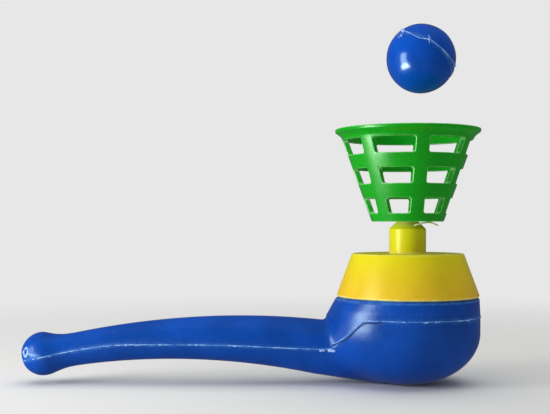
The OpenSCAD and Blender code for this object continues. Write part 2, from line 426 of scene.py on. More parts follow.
class Finishes:
    """Every finish of the toy, built once."""

    def __init__(self) -> None:
        """Builds all finishes."""
        cool = (0.62, 0.88, 1.0)
        self.blue = MouldedPlastic(
            "blue blow-moulded plastic",
            (0.001, 0.06, 0.385),
            (0.12, 0.38, 0.86),
            roughness=0.3,
            shine=0.34,
            tint=cool,
        ).build()
        self.yellow = MouldedPlastic(
            "yellow injected plastic",
            (0.78, 0.50, 0.002),
            (0.98, 0.93, 0.30),
            # Painted light: the upper cone and tube turn a lighter, greener lemon yellow, as if lit
            # and with a painted green reflection of the basket.
            lit_top_colour=(0.80, 0.76, 0.006),
            roughness=0.34,
            shine=0.4,
            tint=(1.0, 0.98, 0.5),
            peel_depth=0.006 * MM,
            unevenness=0.05,
            # Pale cap edges: painted highlights along the rounded edges, such as the skirt's lower
            # rim.
            edge_wear_and_highlight=0.7,
            subsurface=0.12,
            glow=(2.4 * MM, 1.6 * MM, 0.2 * MM),
        ).build()
        self.green = MouldedPlastic(
            "green injected plastic",
            (0.003, 0.38, 0.006),
            (0.38, 0.90, 0.36),
            roughness=0.27,
            shine=0.4,
            tint=(0.7, 1.0, 0.72),
            peel_depth=0.008 * MM,
            unevenness=0.06,
            mottle=0.01,
            # Pale rib and window edges: painted highlights along the rounded edges.
            edge_wear_and_highlight=0.75,
            subsurface=0.1,
            glow=(0.3 * MM, 1.8 * MM, 0.3 * MM),
        ).build()
        self.ball = MouldedPlastic(
            "blue ball plastic",
            (0.001, 0.08, 0.52),
            (0.20, 0.45, 0.90),
            roughness=0.2,
            shine=0.4,
            tint=cool,
            peel_depth=0.006 * MM,
            wave_depth=0.04 * MM,
            unevenness=0.12,
            mottle=0.02,
        ).build()
        self.blue_flash = StressedFlash(
            "whitened blue flash", (0.01, 0.16, 0.66), (0.34, 0.64, 1.0), 0.9
        ).build()
        self.green_flash = StressedFlash(
            "whitened green flash", (0.36, 0.56, 0.08), (0.82, 0.90, 0.58), 1.0
        ).build()
        # Painted shadow: dark blue bead colour that stands in for the shadow under the seam's step.
        self.groove = StressedFlash(
            "painted step shadow", (0.0, 0.012, 0.09), (0.004, 0.06, 0.3), 0.5
        ).build()
        self.torn = StressedFlash(
            "torn blue flash", (0.10, 0.34, 0.88), (0.62, 0.80, 1.0)
        ).build()


def new_object(name: str, mesh: Mesh) -> Object:
    """Puts a mesh in the scene, at the origin.

    Args:
        name: The object's name.
        mesh: Its mesh.

    Returns:
        The object.
    """
    piece = bpy.data.objects.new(name, mesh)
    bpy.context.scene.collection.objects.link(piece)
    return piece


def build_mesh(name: str, points: Sequence[Sequence[float]], faces: Sequence[Face]) -> Mesh:
    """Makes a smooth-shaded mesh whose faces point outwards.

    Args:
        name: The mesh's name.
        points: Its vertices.
        faces: Its faces, as vertex numbers.

    Returns:
        The mesh.
    """
    mesh = bpy.data.meshes.new(name)
    mesh.from_pydata([tuple(map(float, p)) for p in points], [], faces)
    work = bmesh.new()
    work.from_mesh(mesh)
    bmesh.ops.recalc_face_normals(work, faces=work.faces)
    work.to_mesh(mesh)
    work.free()
    mesh.shade_smooth()
    return mesh


def ring_faces(rings: int, sides: int, first: int = 0, closed: bool = False) -> list[Face]:
    """The faces between stacked rings of points.

    Args:
        rings: How many rings there are.
        sides: How many points each has.
        first: The number of the first ring's first point.
        closed: Whether the last ring joins the first one.

    Returns:
        Faces with four corners.
    """
    faces = []
    steps = [(i, (i + 1) % sides) for i in range(sides)]
    for k in range(rings if closed else rings - 1):
        low, high = first + k * sides, first + (k + 1) % rings * sides
        faces += [(low + i, low + j, high + j, high + i) for i, j in steps]
    return faces


def fan_faces(first: int, sides: int, tip: int) -> list[Face]:
    """The faces that close a ring of points at one point."""
    return [(first + i, first + (i + 1) % sides, tip) for i in range(sides)]


def loft(name: str, rings: Array) -> Mesh:
    """Skins a closed stack of rings, given as an array of ring, point and coordinate."""
    return build_mesh(name, rings.reshape(-1, 3), ring_faces(*rings.shape[:2], closed=True))


def revolve(name: str, profile: Sequence[Pair], sides: int) -> Mesh:
    """Turns a closed profile about the Z axis.

    Args:
        name: The mesh's name.
        profile: Points as radius and height.
        sides: How many steps the turn has.

    Returns:
        The mesh.
    """
    turns = np.linspace(0, math.tau, sides, endpoint=False)
    circle = np.column_stack([np.cos(turns), np.sin(turns), np.zeros(sides)])
    return loft(name, np.array([r * circle + (0, 0, z) for r, z in profile]))


def rounded(corners: Sequence[Point], steps: int = 5) -> list[Pair]:
    """Rounds the corners of a closed outline.

    Args:
        corners: Corners as two coordinates and the radius of the rounding.
        steps: Points along each rounding.

    Returns:
        The outline's points.
    """
    outline: list[Pair] = []
    for k, (x, y, radius) in enumerate(corners):
        if radius == 0:
            outline.append((x, y))
            continue
        here = np.array((x, y))
        before, after = (np.array(corners[j % len(corners)][:2]) - here for j in (k - 1, k + 1))
        before, after = before / np.linalg.norm(before), after / np.linalg.norm(after)
        half = math.acos(float(before @ after)) / 2
        bisector = (before + after) / np.linalg.norm(before + after)
        middle = here + bisector * (radius / math.sin(half))
        side = math.copysign(1.0, before[0] * after[1] - before[1] * after[0])
        spoke = here + before * (radius / math.tan(half)) - middle
        for i in range(steps + 1):
            turn = -side * (math.pi - 2 * half) * i / steps
            cos, sin = math.cos(turn), math.sin(turn)
            x, y = spoke[0] * cos - spoke[1] * sin, spoke[0] * sin + spoke[1] * cos
            outline.append((middle[0] + x, middle[1] + y))
    return outline


def settle(piece: Object) -> Object:
    """Turns a piece and its modifiers into a plain mesh.

    Args:
        piece: The piece.

    Returns:
        The same piece, with no modifiers.
    """
    depsgraph = bpy.context.evaluated_depsgraph_get()
    mesh = bpy.data.meshes.new_from_object(piece.evaluated_get(depsgraph), depsgraph=depsgraph)
    piece.modifiers.clear()
    piece.data = mesh
    return piece


def set_point_values(mesh: Mesh, name: str, values: Array) -> None:
    """Stores a number on every vertex of a mesh."""
    attribute = mesh.attributes.get(name) or mesh.attributes.new(name, "FLOAT", "POINT")
    attribute.data.foreach_set("value", values.astype(np.float32))


def ramp(values: Array, none: float, full: float) -> Array:
    """A straight change, from zero at the first end to one at the second, and level past both."""
    return np.clip((values - none) / (full - none), 0, 1)


def mark_edges(mesh: Mesh, soft: float, sharp: float) -> None:
    """Marks the rounded edges of a mesh, where handling wears it first and where painted highlights
    go.

    Args:
        mesh: The mesh.
        soft: The bend in degrees, from one face to the next, that isn't an edge yet.
        sharp: The bend that counts in full.
    """
    work = bmesh.new()
    work.from_mesh(mesh)
    bend = np.zeros(len(work.verts))
    for edge in work.edges:
        if len(edge.link_faces) == 2:
            ends = [vertex.index for vertex in edge.verts]
            bend[ends] = np.maximum(bend[ends], math.degrees(edge.calc_face_angle(0.0)))
    work.free()
    set_point_values(mesh, EDGE, ramp(bend, soft, sharp))


def finish_piece(
    piece: Object, material: Material | None, body: Body, node: str | None = None
) -> None:
    """Dresses a piece and ties it to the frame.

    Args:
        piece: The piece, in place.
        material: Its finish, or none where it has one already.
        body: The body that it rides on.
        node: The CAD node that it stands for, if any.
    """
    if material is not None:
        piece.data.materials.clear()
        piece.data.materials.append(material)
    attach(piece, body.value)
    if node is not None:
        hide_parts(node)
    LOG.info("%s: %d faces", piece.name, len(piece.data.polygons))


def travel(line: Array) -> Array:
    """The distance along a line at each of its points."""
    return np.concatenate([[0.0], np.cumsum(np.linalg.norm(np.diff(line, axis=0), axis=1))])


def points_at(line: Array, places: Array) -> Array:
    """The points of a line at distances along it."""
    far = travel(line)
    return np.column_stack([np.interp(places, far, line[:, k]) for k in range(3)])


def eased(line: Array, step: float, passes: int) -> Array:
    """Rounds the corners of a line.

    Args:
        line: Its points.
        step: The even distance between the new points.
        passes: How many times each point moves towards its neighbours.

    Returns:
        The new points.
    """
    length = travel(line)[-1]
    line = points_at(line, np.linspace(0.0, length, int(length / step)))
    for _ in range(passes):
        line[1:-1] += 0.5 * ((line[:-2] + line[2:]) / 2 - line[1:-1])
    return line


class GeometryTree:
    """A Geometry Nodes tree with named inputs, whose result is kept as a plain mesh."""

    def __init__(self, name: str, source: str, inputs: Mapping[str, str]) -> None:
        """Starts the tree.

        Args:
            name: The tree's name.
            source: The name of the input that takes the piece's own geometry.
            inputs: The other inputs' types, by name.
        """
        self.tree = bpy.data.node_groups.new(name, "GeometryNodeTree")
        face = self.tree.interface
        face.new_socket("Geometry", in_out="OUTPUT", socket_type="NodeSocketGeometry")
        self.sockets = {
            key: face.new_socket(key, in_out="INPUT", socket_type=f"NodeSocket{kind}").identifier
            for key, kind in {source: "Geometry", **inputs, "Material": "Material"}.items()
        }
        self.graph = Graph(self.tree)
        self.given = self.graph.add("NodeGroupInput")

    def end(self, geometry: Value) -> None:
        """Ends the tree with a real mesh that has the given material.

        Args:
            geometry: What the tree has made.
        """
        add = self.graph.add
        real = add("GeometryNodeRealizeInstances", {"Geometry": geometry})["Geometry"]
        dressed = {"Geometry": real, "Material": self.given["Material"]}
        done = add("GeometryNodeSetMaterial", dressed)["Geometry"]
        add("NodeGroupOutput", {"Geometry": done})

    def apply(self, piece: Object, values: Mapping[str, object]) -> Object:
        """Runs the tree on a piece.

        Args:
            piece: The piece, which holds the tree's source.
            values: The other inputs' values, by name.

        Returns:
            The piece, as a plain mesh.
        """
        modifier = piece.modifiers.new(self.tree.name, "NODES")
        modifier.node_group = self.tree
        for key, value in values.items():
            modifier[self.sockets[key]] = value
        return settle(piece)


@dataclass(frozen=True)
class FlashSizes:
    """Sizes of a ragged bead along a line, and how far outside and below the line it lies."""

    bead_r: float = 0.15 * MM
    raggedness: float = 0.10 * MM
    grain: float = 0.8 * MM
    gaps: float = 0.0
    gap_grain: float = 4.0 * MM
    taper: float = 0.5 * MM
    proud: float = 0.0
    drop: float = 0.0


Mark = tuple[str, Sequence[Array], FlashSizes, Material]


class FlashBead(GeometryTree):
    """Geometry Nodes that lay a ragged bead along a line."""

    SIDES = 7
    THINNEST = 0.02
    REACH = 4
    INPUTS = ("bead_r", "raggedness", "grain", "gaps", "gap_grain")

    def __init__(self) -> None:
        """Builds the tree: gaps, a swept bead, and a ragged surface."""
        super().__init__("flash bead", "Line", dict.fromkeys(self.INPUTS, "Float"))
        add, given = self.graph.add, self.given
        place = add("GeometryNodeInputPosition")["Position"]
        thin = add("ShaderNodeTexNoise", {"Vector": place, "Scale": 1.0 / given["gap_grain"]})[0]
        cut = {"Geometry": given["Line"], "Selection": thin < given["gaps"]}
        kept = add("GeometryNodeDeleteGeometry", cut, domain="POINT")["Geometry"]
        curve = add("GeometryNodeMeshToCurve", {"Mesh": kept})["Curve"]
        circle = {"Resolution": self.SIDES, "Radius": given["bead_r"]}
        ring = add("GeometryNodeCurvePrimitiveCircle", circle)["Curve"]
        scale = add("GeometryNodeInputNamedAttribute", {"Name": THICKNESS}, data_type="FLOAT")
        sweep = {
            "Curve": curve,
            "Profile Curve": ring,
            "Scale": scale["Attribute"],
            "Fill Caps": True,
        }
        swept = add("GeometryNodeCurveToMesh", sweep)["Mesh"]
        grain = {"Vector": place, "Scale": 1.0 / given["grain"], "Detail": 3.0}
        rough = add("ShaderNodeTexNoise", grain)["Color"]
        half = {0: rough, 1: (0.5, 0.5, 0.5)}
        centred = add("ShaderNodeVectorMath", half, operation="SUBTRACT")["Vector"]
        reach = {0: centred, "Scale": given["raggedness"] * self.REACH}
        moved = add("ShaderNodeVectorMath", reach, operation="SCALE")["Vector"]
        ragged = add("GeometryNodeSetPosition", {"Geometry": swept, "Offset": moved})["Geometry"]
        self.end(add("GeometryNodeSetShadeSmooth", {"Geometry": ragged})["Geometry"])

    def lay(self, marks: Sequence[Mark], body: Body, slot: Slot) -> list[Object]:
        """Lays beads along lines and ties them to the frame.

        Args:
            marks: Each piece's name, lines, bead sizes and finish.
            body: The body that they ride on.
            slot: The record's slot of their finish; it is not used.

        Returns:
            The pieces, as plain meshes.
        """
        pieces = []
        for name, lines, sizes, material in marks:
            mesh = bpy.data.meshes.new(name)
            starts = np.cumsum([0] + [len(line) for line in lines]).tolist()
            spans = zip(starts, starts[1:])
            edges = [(i, i + 1) for low, high in spans for i in range(low, high - 1)]
            mesh.from_pydata(np.concatenate(lines).tolist(), edges, [])
            ways = [travel(line) for line in lines]
            shares = np.concatenate([np.minimum(way, way[-1] - way) / sizes.taper for way in ways])
            set_point_values(mesh, THICKNESS, np.sqrt(np.clip(shares, self.THINNEST, 1)))
            values = {key: getattr(sizes, key) for key in self.INPUTS}
            pieces.append(self.apply(new_object(name, mesh), {**values, "Material": material}))
        for piece in pieces:
            finish_piece(piece, None, body)
        return pieces


@dataclass(frozen=True)
class PipeSizes:
    """Sizes of the moulded pipe."""

    bowl_r: float = 25.0 * MM
    bowl_mouth_r: float = 24.7 * MM
    bowl_h: float = 30.3 * MM
    bowl_round: float = 18.4 * MM
    foot_depth: float = 0.35 * MM
    mouth_r: float = 23.4 * MM
    mouth_depth: float = 5.9 * MM
    mouth_round: float = 0.1 * MM
    lip_round: float = 0.2 * MM
    lip_inset: float = 0.02 * MM
    groove_depth: float = 0.75 * MM
    groove_h: float = 0.55 * MM
    stem_reach: float = 127.2 * MM
    crown_x: float = 71.0 * MM
    crown_z: float = 15.7 * MM
    arch_r: float = 265.0 * MM
    heel_x: float = 31.6 * MM
    neck_r: float = 5.4 * MM
    heel_r: float = 9.5 * MM
    taper_power: float = 1.2
    heel_fillet: float = 1.5 * MM
    elbow_blend: float = 7.0 * MM
    keel_blend: float = 0.6 * MM
    wall: float = 1.3 * MM
    knob_r: float = 7.6 * MM
    knob_end: float = 6.9 * MM
    knob_lift: float = 0.6 * MM
    knob_fillet: float = 2.4 * MM
    face_rings: tuple[Pair, ...] = ((0.25 * MM, 0.0), (0.06 * MM, 0.02 * MM))
    air_hole_r: float = 2.0 * MM
    air_hole_len: float = 2.5 * MM
    hole_round: float = 0.3 * MM
    seam_z: float = 14.1 * MM
    seam_ease: float = 0.8 * MM
    seam_fall: float = 1.25 * MM
    seam_foot_x: float = 27.0 * MM
    seam_top_x: float = 17.5 * MM
    seam_start: float = 0.6 * MM
    seam_reach: float = 0.6 * MM
    hook_reach: float = 0.8 * MM
    hook_lift: float = 1.5 * MM
    hook_fade: float = 3.2 * MM
    step_past: float = 6.5 * MM
    scar_aim: Point = (-4.8, -5.8, 1.2)
    scar_r: float = 1.4 * MM
    scar_depth: float = 0.8 * MM
    scar_band: Pair = (-0.4 * MM, 0.5 * MM)
    scar_pit_w: float = 0.6
    scar_rim_w: float = 0.4
    scar_rim_h: float = 0.3


def smooth_step(value: float) -> float:
    """A smooth rise from zero to one."""
    share = min(1.0, max(0.0, value))
    return share * share * (3 - 2 * share)


def circle_half(radius: Array | float, distance: Array | float) -> Array:
    """Half the chord of a circle at a distance from its middle."""
    return np.sqrt(np.maximum(0.0, np.square(radius) - np.square(distance)))


def blend_max(first: Array | float, second: Array | float, soft: Array | float) -> Array:
    """The larger of two sizes, with a soft change from one to the other."""
    overlap = np.maximum(0.0, soft - np.abs(first - second))
    return np.maximum(first, second) + np.square(overlap) / (4 * np.maximum(soft, 1e-9))


class PipeForm:
    """The pipe's shape: sections along an arched stem, round the inside corner and up the bowl."""

    SOFTEST = 0.01 * MM
    SEAM_STEPS = (420, 110, 500)
    SEAM_TOP_AIM = -0.004
    SEAM_EASING = (0.25 * MM, 60)

    def __init__(self, sizes: PipeSizes) -> None:
        """Works out the places that the sections hang on.

        Args:
            sizes: The pipe's sizes.
        """
        self.s = sizes
        self.knob_a = self.arc_angle(-sizes.stem_reach)
        self.face_a = self.knob_a - sizes.knob_end / sizes.arch_r
        self.heel_a = self.arc_angle(-sizes.heel_x)
        heel = self.arc_point(self.heel_a)
        up = np.array([math.sin(self.heel_a), math.cos(self.heel_a)])
        self.pivot = heel + (sizes.heel_r + sizes.heel_fillet) * up
        self.fan_start = -math.pi / 2 - self.heel_a
        self.bowl_mid_z = sizes.bowl_round - sizes.foot_depth
        self.flare = -self.pivot[0] - sizes.heel_fillet - sizes.bowl_r
        self.keel_start = heel - sizes.heel_r * up
        self.keel_end = np.array([-sizes.bowl_r / 3, -sizes.foot_depth])
        self.seam_foot, self.seam_heel = (
            np.array([-x, self.seam_level(-x)]) for x in (sizes.seam_foot_x, sizes.heel_x)
        )
        self.seam_top = np.array([-sizes.seam_top_x, self.pivot[1]])

    def arc_angle(self, x: float) -> float:
        """The angle along the stem's arch at an X."""
        return math.asin((x + self.s.crown_x) / self.s.arch_r)

    def arc_point(self, a: float) -> Array:
        """A point of the stem's arch.

        Args:
            a: The angle along the arch.

        Returns:
            Its X and Z.
        """
        s = self.s
        below = s.crown_z - s.arch_r
        return np.array([s.arch_r * math.sin(a) - s.crown_x, below + s.arch_r * math.cos(a)])

    def seam_level(self, x: float) -> float:
        """Height of the parting line along the stem.

        Args:
            x: A place along the stem.

        Returns:
            The arch's height near the knob, and then a level that falls a little to the elbow.
        """
        s = self.s
        if x < -s.crown_x:
            return -float(blend_max(-self.arc_point(self.arc_angle(x))[1], -s.seam_z, s.seam_ease))
        return s.seam_z - s.seam_fall * smooth_step((x + s.crown_x) / (s.crown_x - s.seam_foot_x))

    def stem_middle(self, a: float) -> Array:
        """The stem's middle, which rises a little at the knob.

        Args:
            a: The angle along the arch.

        Returns:
            Its X and Z.
        """
        past = (a - self.knob_a) * self.s.arch_r
        lift = self.s.knob_lift * (1 - smooth_step(past / self.s.knob_r))
        return self.arc_point(a) + lift * np.array([math.sin(a), math.cos(a)])

    def stem_radius(self, a: float) -> float:
        """The stem's radius, with the knob's ball blended onto its end.

        Args:
            a: The angle along the arch.

        Returns:
            The radius there.
        """
        s = self.s
        past = (a - self.knob_a) * s.arch_r
        knob = float(circle_half(s.knob_r, past))
        if past < 0:
            return knob
        share = (a - self.knob_a) / (self.heel_a - self.knob_a)
        taper = s.neck_r + (s.heel_r - s.neck_r) * share**s.taper_power
        soft = max(self.SOFTEST, s.knob_fillet * smooth_step(2 * past / s.knob_r))
        return float(blend_max(taper, knob, soft))

    def stem_ring(
        self, a: float, v: Array, inset: float = 0.0, radius: float | None = None
    ) -> Array:
        """A section of the stem.

        Args:
            a: The angle along the arch.
            v: Angles around the section, from its top.
            inset: How far inside the outer surface it lies.
            radius: A radius that replaces the stem's own.

        Returns:
            One point for each angle.
        """
        x, z = self.stem_middle(a)
        r = (self.stem_radius(a) if radius is None else radius) - inset
        up = r * np.cos(v)
        return np.column_stack([x + up * math.sin(a), r * np.sin(v), z + up * math.cos(a)])

    def _height_share(self, z: Array | float) -> Array:
        """How far up the bowl a height lies, from zero at the inside corner to one at the mouth."""
        return np.maximum(0.0, (z - self.pivot[1]) / (self.s.bowl_h - self.pivot[1]))

    def bowl_half(self, x: Array, z: Array) -> Array:
        """Half the bowl's width.

        Args:
            x: Places in its middle plane.
            z: Their heights.

        Returns:
            The widths there.
        """
        s, share = self.s, self._height_share(z)
        low = s.bowl_r * circle_half(1.0, (self.bowl_mid_z - z) / s.bowl_round)
        high = s.bowl_r + (s.bowl_mouth_r - s.bowl_r) * share
        stretch = 1 + (1 - share) * self.flare / s.bowl_r
        radius = np.where(z < self.bowl_mid_z, low, high)
        return circle_half(radius, np.where(x < 0, x / stretch, x))

    def _ray_line(self, d: float, start: Array, run: Array) -> float:
        """Distance from the pivot to a line, along a ray."""
        out = start - self.pivot
        return (out[0] * run[1] - out[1] * run[0]) / (math.cos(d) * run[1] - math.sin(d) * run[0])

    def _ray_round(self, d: float) -> float:
        """How far the bowl's round underside is from the pivot.

        Args:
            d: The angle of a ray from the pivot.

        Returns:
            The distance along that ray.
        """
        r, h = self.s.bowl_r, self.s.bowl_round
        px, pz = self.pivot[0] / r, (self.pivot[1] - self.bowl_mid_z) / h
        ux, uz = math.cos(d) / r, math.sin(d) / h
        a, b, c = ux * ux + uz * uz, px * ux + pz * uz, px * px + pz * pz - 1
        return (-b + math.sqrt(max(0.0, b * b - a * c))) / a

    def ray_out(self, d: float) -> float:
        """How far the pipe reaches from the pivot.

        Args:
            d: The angle of a ray from the pivot.

        Returns:
            The distance to the bowl's wall, its underside or the elbow's keel.
        """
        px, pz = self.pivot
        if d > math.atan2(self.bowl_mid_z - pz, self.s.bowl_r - px):
            return (self.s.bowl_r - px) / math.cos(d)
        if d > math.atan2(self.keel_end[1] - pz, self.keel_end[0] - px):
            return self._ray_round(d)
        keel = self._ray_line(d, self.keel_start, self.keel_end - self.keel_start)
        return float(blend_max(keel, self._ray_round(d), self.s.keel_blend))

    def fan_ring(self, d: float, v: Array, inset: float = 0.0) -> Array:
        """A section of the elbow between stem and bowl.

        Args:
            d: The section's angle about the pivot.
            v: Angles around it, from the inside corner.
            inset: How far inside the outer surface it lies.

        Returns:
            One point for each angle.
        """
        s = self.s
        middle = (s.heel_fillet + self.ray_out(d)) / 2
        side, across = np.sign(np.sin(v)), np.abs(np.sin(v))
        reach = middle - (middle - s.heel_fillet) * np.cos(v)
        x, z = self.pivot[0] + reach * math.cos(d), self.pivot[1] + reach * math.sin(d)
        wide = self.bowl_half(x, z)
        soft = np.maximum(self.SOFTEST, s.elbow_blend * across * math.sqrt(max(0.0, -math.sin(d))))
        width = blend_max(s.heel_r * across, wide, soft) - inset * across
        along = reach + inset * np.cos(v)
        x, z = self.pivot[0] + along * math.cos(d), self.pivot[1] + along * math.sin(d)
        return np.column_stack([x, width * side, z])

    def bowl_ring(self, z: float, v: Array) -> Array:
        """A level section of the upper bowl.

        Args:
            z: Its height.
            v: Angles around it, from the side of the stem.

        Returns:
            One point for each angle.
        """
        s, share = self.s, self._height_share(z)
        right = s.bowl_r + (s.bowl_mouth_r - s.bowl_r) * share
        left = right * (1 + (1 - share) * self.flare / s.bowl_r)
        half = (left + right) / 2
        x = half - left - half * np.cos(v)
        level = np.full_like(x, z)
        return np.column_stack([x, self.bowl_half(x, level) * np.sign(np.sin(v)), level])

    @staticmethod
    def level_ring(radius: float, z: float, v: Array) -> Array:
        """A level circle about the bowl's axis."""
        return np.column_stack([-radius * np.cos(v), radius * np.sin(v), np.full_like(v, z)])

    def parting_line(self) -> Array:
        """The line where the mould's halves met, down one side and back up the other.

        Returns:
            Its points, in order.
        """
        s = self.s
        along_stem, round_elbow, round_bowl = self.SEAM_STEPS
        side = []
        for a in np.linspace(self.face_a + s.seam_start / s.arch_r, self.heel_a, along_stem):
            x, z = self.stem_middle(a)
            v = math.acos(min(1.0, max(-1.0, (self.seam_level(x) - z) / self.stem_radius(a))))
            side.append(self.stem_ring(a, np.array([v]))[0])
        foot = self.seam_foot - self.pivot
        foot_aim = math.atan2(foot[1], foot[0])
        for d in np.linspace(self.fan_start, self.SEAM_TOP_AIM, round_elbow)[1:]:
            past_foot = d >= foot_aim
            run = self.seam_top - self.seam_foot if past_foot else self.seam_foot - self.seam_heel
            middle = (s.heel_fillet + self.ray_out(d)) / 2
            short = middle - self._ray_line(d, self.seam_foot, run)
            v = math.acos(short / (middle - s.heel_fillet))
            side.append(self.fan_ring(d, np.array([v]))[0])
        left = s.bowl_r + self.flare
        half = (left + s.bowl_r) / 2
        start = math.acos((half - left + s.seam_top_x) / half)
        turns = np.linspace(start, math.tau - start, round_bowl)
        level = self.bowl_ring(float(self.pivot[1]), turns)
        near = np.array(side)
        return eased(np.vstack([near, level, near[::-1] * (1, -1, 1)]), *self.SEAM_EASING)


@dataclass
class PipeShell:
    """The blow-moulded pipe: knob, stem and bowl in one hollow wall, with its parting line.

    The knob's span is in its own radii. The elbow's fairing starts and is full at turns from its
    inside corner, in degrees, and at sections counted from its ends. The neck's lies at shares of
    the knob's sections. A fairing is a pull and a number of passes.
    """

    finishes: Finishes
    sizes: PipeSizes = PipeSizes()
    sides: int = 160
    knob_rings: int = 46
    knob_span: float = 1.5
    knob_first: float = 0.03
    knob_crowding: float = 1.3
    stem_rings: int = 70
    fan_rings: int = 72
    bowl_rings: int = 10
    elbow_turns: tuple[Pair, Pair] = ((5.0, 20.0), (150.0, 100.0))
    elbow_ends: tuple[Pair, Pair] = ((-14, 0), (3, -2))
    elbow_fairing: tuple[float, int] = (0.6, 110)
    neck_middle: float = 0.80
    neck_reach: float = 0.28
    neck_fairing: tuple[float, int] = (0.7, 60)
    pale_edge_bend: Pair = (14.0, 34.0)
    scar_stress: float = 1.6
    scar_stress_w: float = 0.4 * MM
    hole_stress: float = 1.5
    # Sizes of the dark bead that paints the shadow under the seam's step.
    groove: FlashSizes = FlashSizes(
        bead_r=0.3 * MM,
        raggedness=0.09 * MM,
        gaps=0.2,
        gap_grain=3.0 * MM,
        taper=7.0 * MM,
        proud=-0.03 * MM,
        drop=0.75 * MM,
    )
    line_start: float = 2.0 * MM
    fine_line: FlashSizes = FlashSizes(
        bead_r=0.14 * MM, raggedness=0.07 * MM, gaps=0.36, gap_grain=2.2 * MM, proud=0.03 * MM
    )
    flash: FlashSizes = FlashSizes(
        bead_r=0.17 * MM,
        raggedness=0.12 * MM,
        grain=0.7 * MM,
        gaps=0.54,
        gap_grain=5.0 * MM,
        proud=0.10 * MM,
    )
    step: FlashSizes = FlashSizes(
        bead_r=0.34 * MM,
        raggedness=0.06 * MM,
        grain=1.5 * MM,
        taper=3.0 * MM,
        proud=0.05 * MM,
        drop=0.3 * MM,
    )
    crest: FlashSizes = FlashSizes(
        bead_r=0.15 * MM,
        raggedness=0.12 * MM,
        gaps=0.25,
        gap_grain=2.0 * MM,
        taper=2.0 * MM,
        proud=0.3 * MM,
    )
    speck: FlashSizes = FlashSizes(0.24 * MM, 0.16 * MM, 0.6 * MM, proud=0.02 * MM)
    specks: int = 64
    speck_seed: int = 11
    speck_half: Pair = (0.2 * MM, 0.9 * MM)
    speck_stray: float = 0.22 * MM
    speck_margin: float = 4.0 * MM
    speck_points: int = 8
    torn: FlashSizes = FlashSizes(0.48 * MM, 0.2 * MM, proud=0.1 * MM)
    torn_spans: tuple[Pair, ...] = ((-4.4 * MM, -2.2 * MM), (-1.4 * MM, 1.3 * MM))
    torn_drop: float = 0.38 * MM
    torn_points: int = 14
    tab: FlashSizes = FlashSizes(0.26 * MM, 0.1 * MM)
    tab_span: Pair = (3.4 * MM, 1.6 * MM)
    tab_side: float = -0.6 * MM
    tab_bulge: float = 0.2 * MM
    tab_sink: float = 0.05 * MM
    tab_arch: Pair = (0.2, 2.9)
    tab_points: int = 12
    scar_rim: FlashSizes = FlashSizes(0.44 * MM, 0.13 * MM, 0.9 * MM, proud=0.02 * MM)
    scar_squeeze: float = 0.75
    scar_wobble: Pair = (0.12, 0.08)
    scar_start: float = 0.4
    scar_points: int = 50

    def build(self) -> list[Object]:
        """Builds the shell and what is left of the mould on it.

        Returns:
            The pieces.
        """
        self.form = PipeForm(self.sizes)
        shell = new_object("pipe_shell", loft("pipe_shell", self._rings()))
        mesh = shell.data
        corners = [vertex.co for vertex in mesh.vertices]
        self.skin = BVHTree.FromPolygons(corners, [face.vertices for face in mesh.polygons])
        line = self.form.parting_line()
        self._mark_seam(mesh, line)
        mark_edges(mesh, *self.pale_edge_bend)
        finish_piece(shell, self.finishes.blue, Body.PIPE, "pipe_body")
        return [shell, *FlashBead().lay(self._marks(line), Body.PIPE, Slot.BLUE)]

    def _marks(self, line: Array) -> list[Mark]:
        """What the mould left on the shell, and a dark bead of painted shadow under the seam's
        step.

        Args:
            line: The whole parting line.

        Returns:
            Each piece's name, lines, bead sizes and finish.
        """
        flash, torn = self.finishes.blue_flash, self.finishes.torn
        past_knob = line[line[:, 0] > self.line_start - self.sizes.stem_reach]
        steps = self._step_lines(line)
        on_skin = self._on_skin
        return [
            # This dark bead is painted shadow under the seam's step.
            ("step_painted_shadow", on_skin(steps, self.groove), self.groove, self.finishes.groove),
            ("parting_line", on_skin([past_knob], self.fine_line), self.fine_line, flash),
            ("parting_flash", on_skin([line], self.flash), self.flash, flash),
            ("mould_step", on_skin(steps, self.step), self.step, self.finishes.blue),
            ("step_crest", on_skin(steps, self.crest), self.crest, flash),
            ("flash_specks", on_skin(self._specks(line), self.speck), self.speck, torn),
            ("torn_flash", self._torn_ends(), self.torn, torn),
            ("mouth_tab", [self._mouth_tab()], self.tab, torn),
            ("scar_rim", on_skin([self._scar_line()], self.scar_rim), self.scar_rim, torn),
        ]

    def _on_skin(self, lines: Sequence[Array], sizes: FlashSizes) -> list[Array]:
        """Moves lines onto the shell.

        Args:
            lines: Their points, near the shell's outside.
            sizes: The bead's sizes, which say how far below and outside each line ends up.

        Returns:
            The moved lines.
        """
        moved = []
        for line in lines:
            found = (self.skin.find_nearest(Vector(point)) for point in line - (0, 0, sizes.drop))
            moved.append(np.array([place + normal * sizes.proud for place, normal, _, _ in found]))
        return moved

    def _step_lines(self, line: Array) -> list[Array]:
        """The stretches of the parting line where the mould's halves stand a little apart.

        Args:
            line: The whole parting line.

        Returns:
            One stretch on each side, from the hook at the step's foot to just past its top.
        """
        s = self.sizes
        start, end = self.form.seam_foot[0] - s.hook_reach, self.form.seam_top[0] + s.step_past
        line = line[(line[:, 0] > start) & (line[:, 0] < end)]
        hook = s.hook_lift * np.exp(-np.square((line[:, 0] - start) / s.hook_fade))
        line = line + np.outer(hook, (0, 0, 1))
        return [line[line[:, 1] < 0], line[line[:, 1] > 0]]

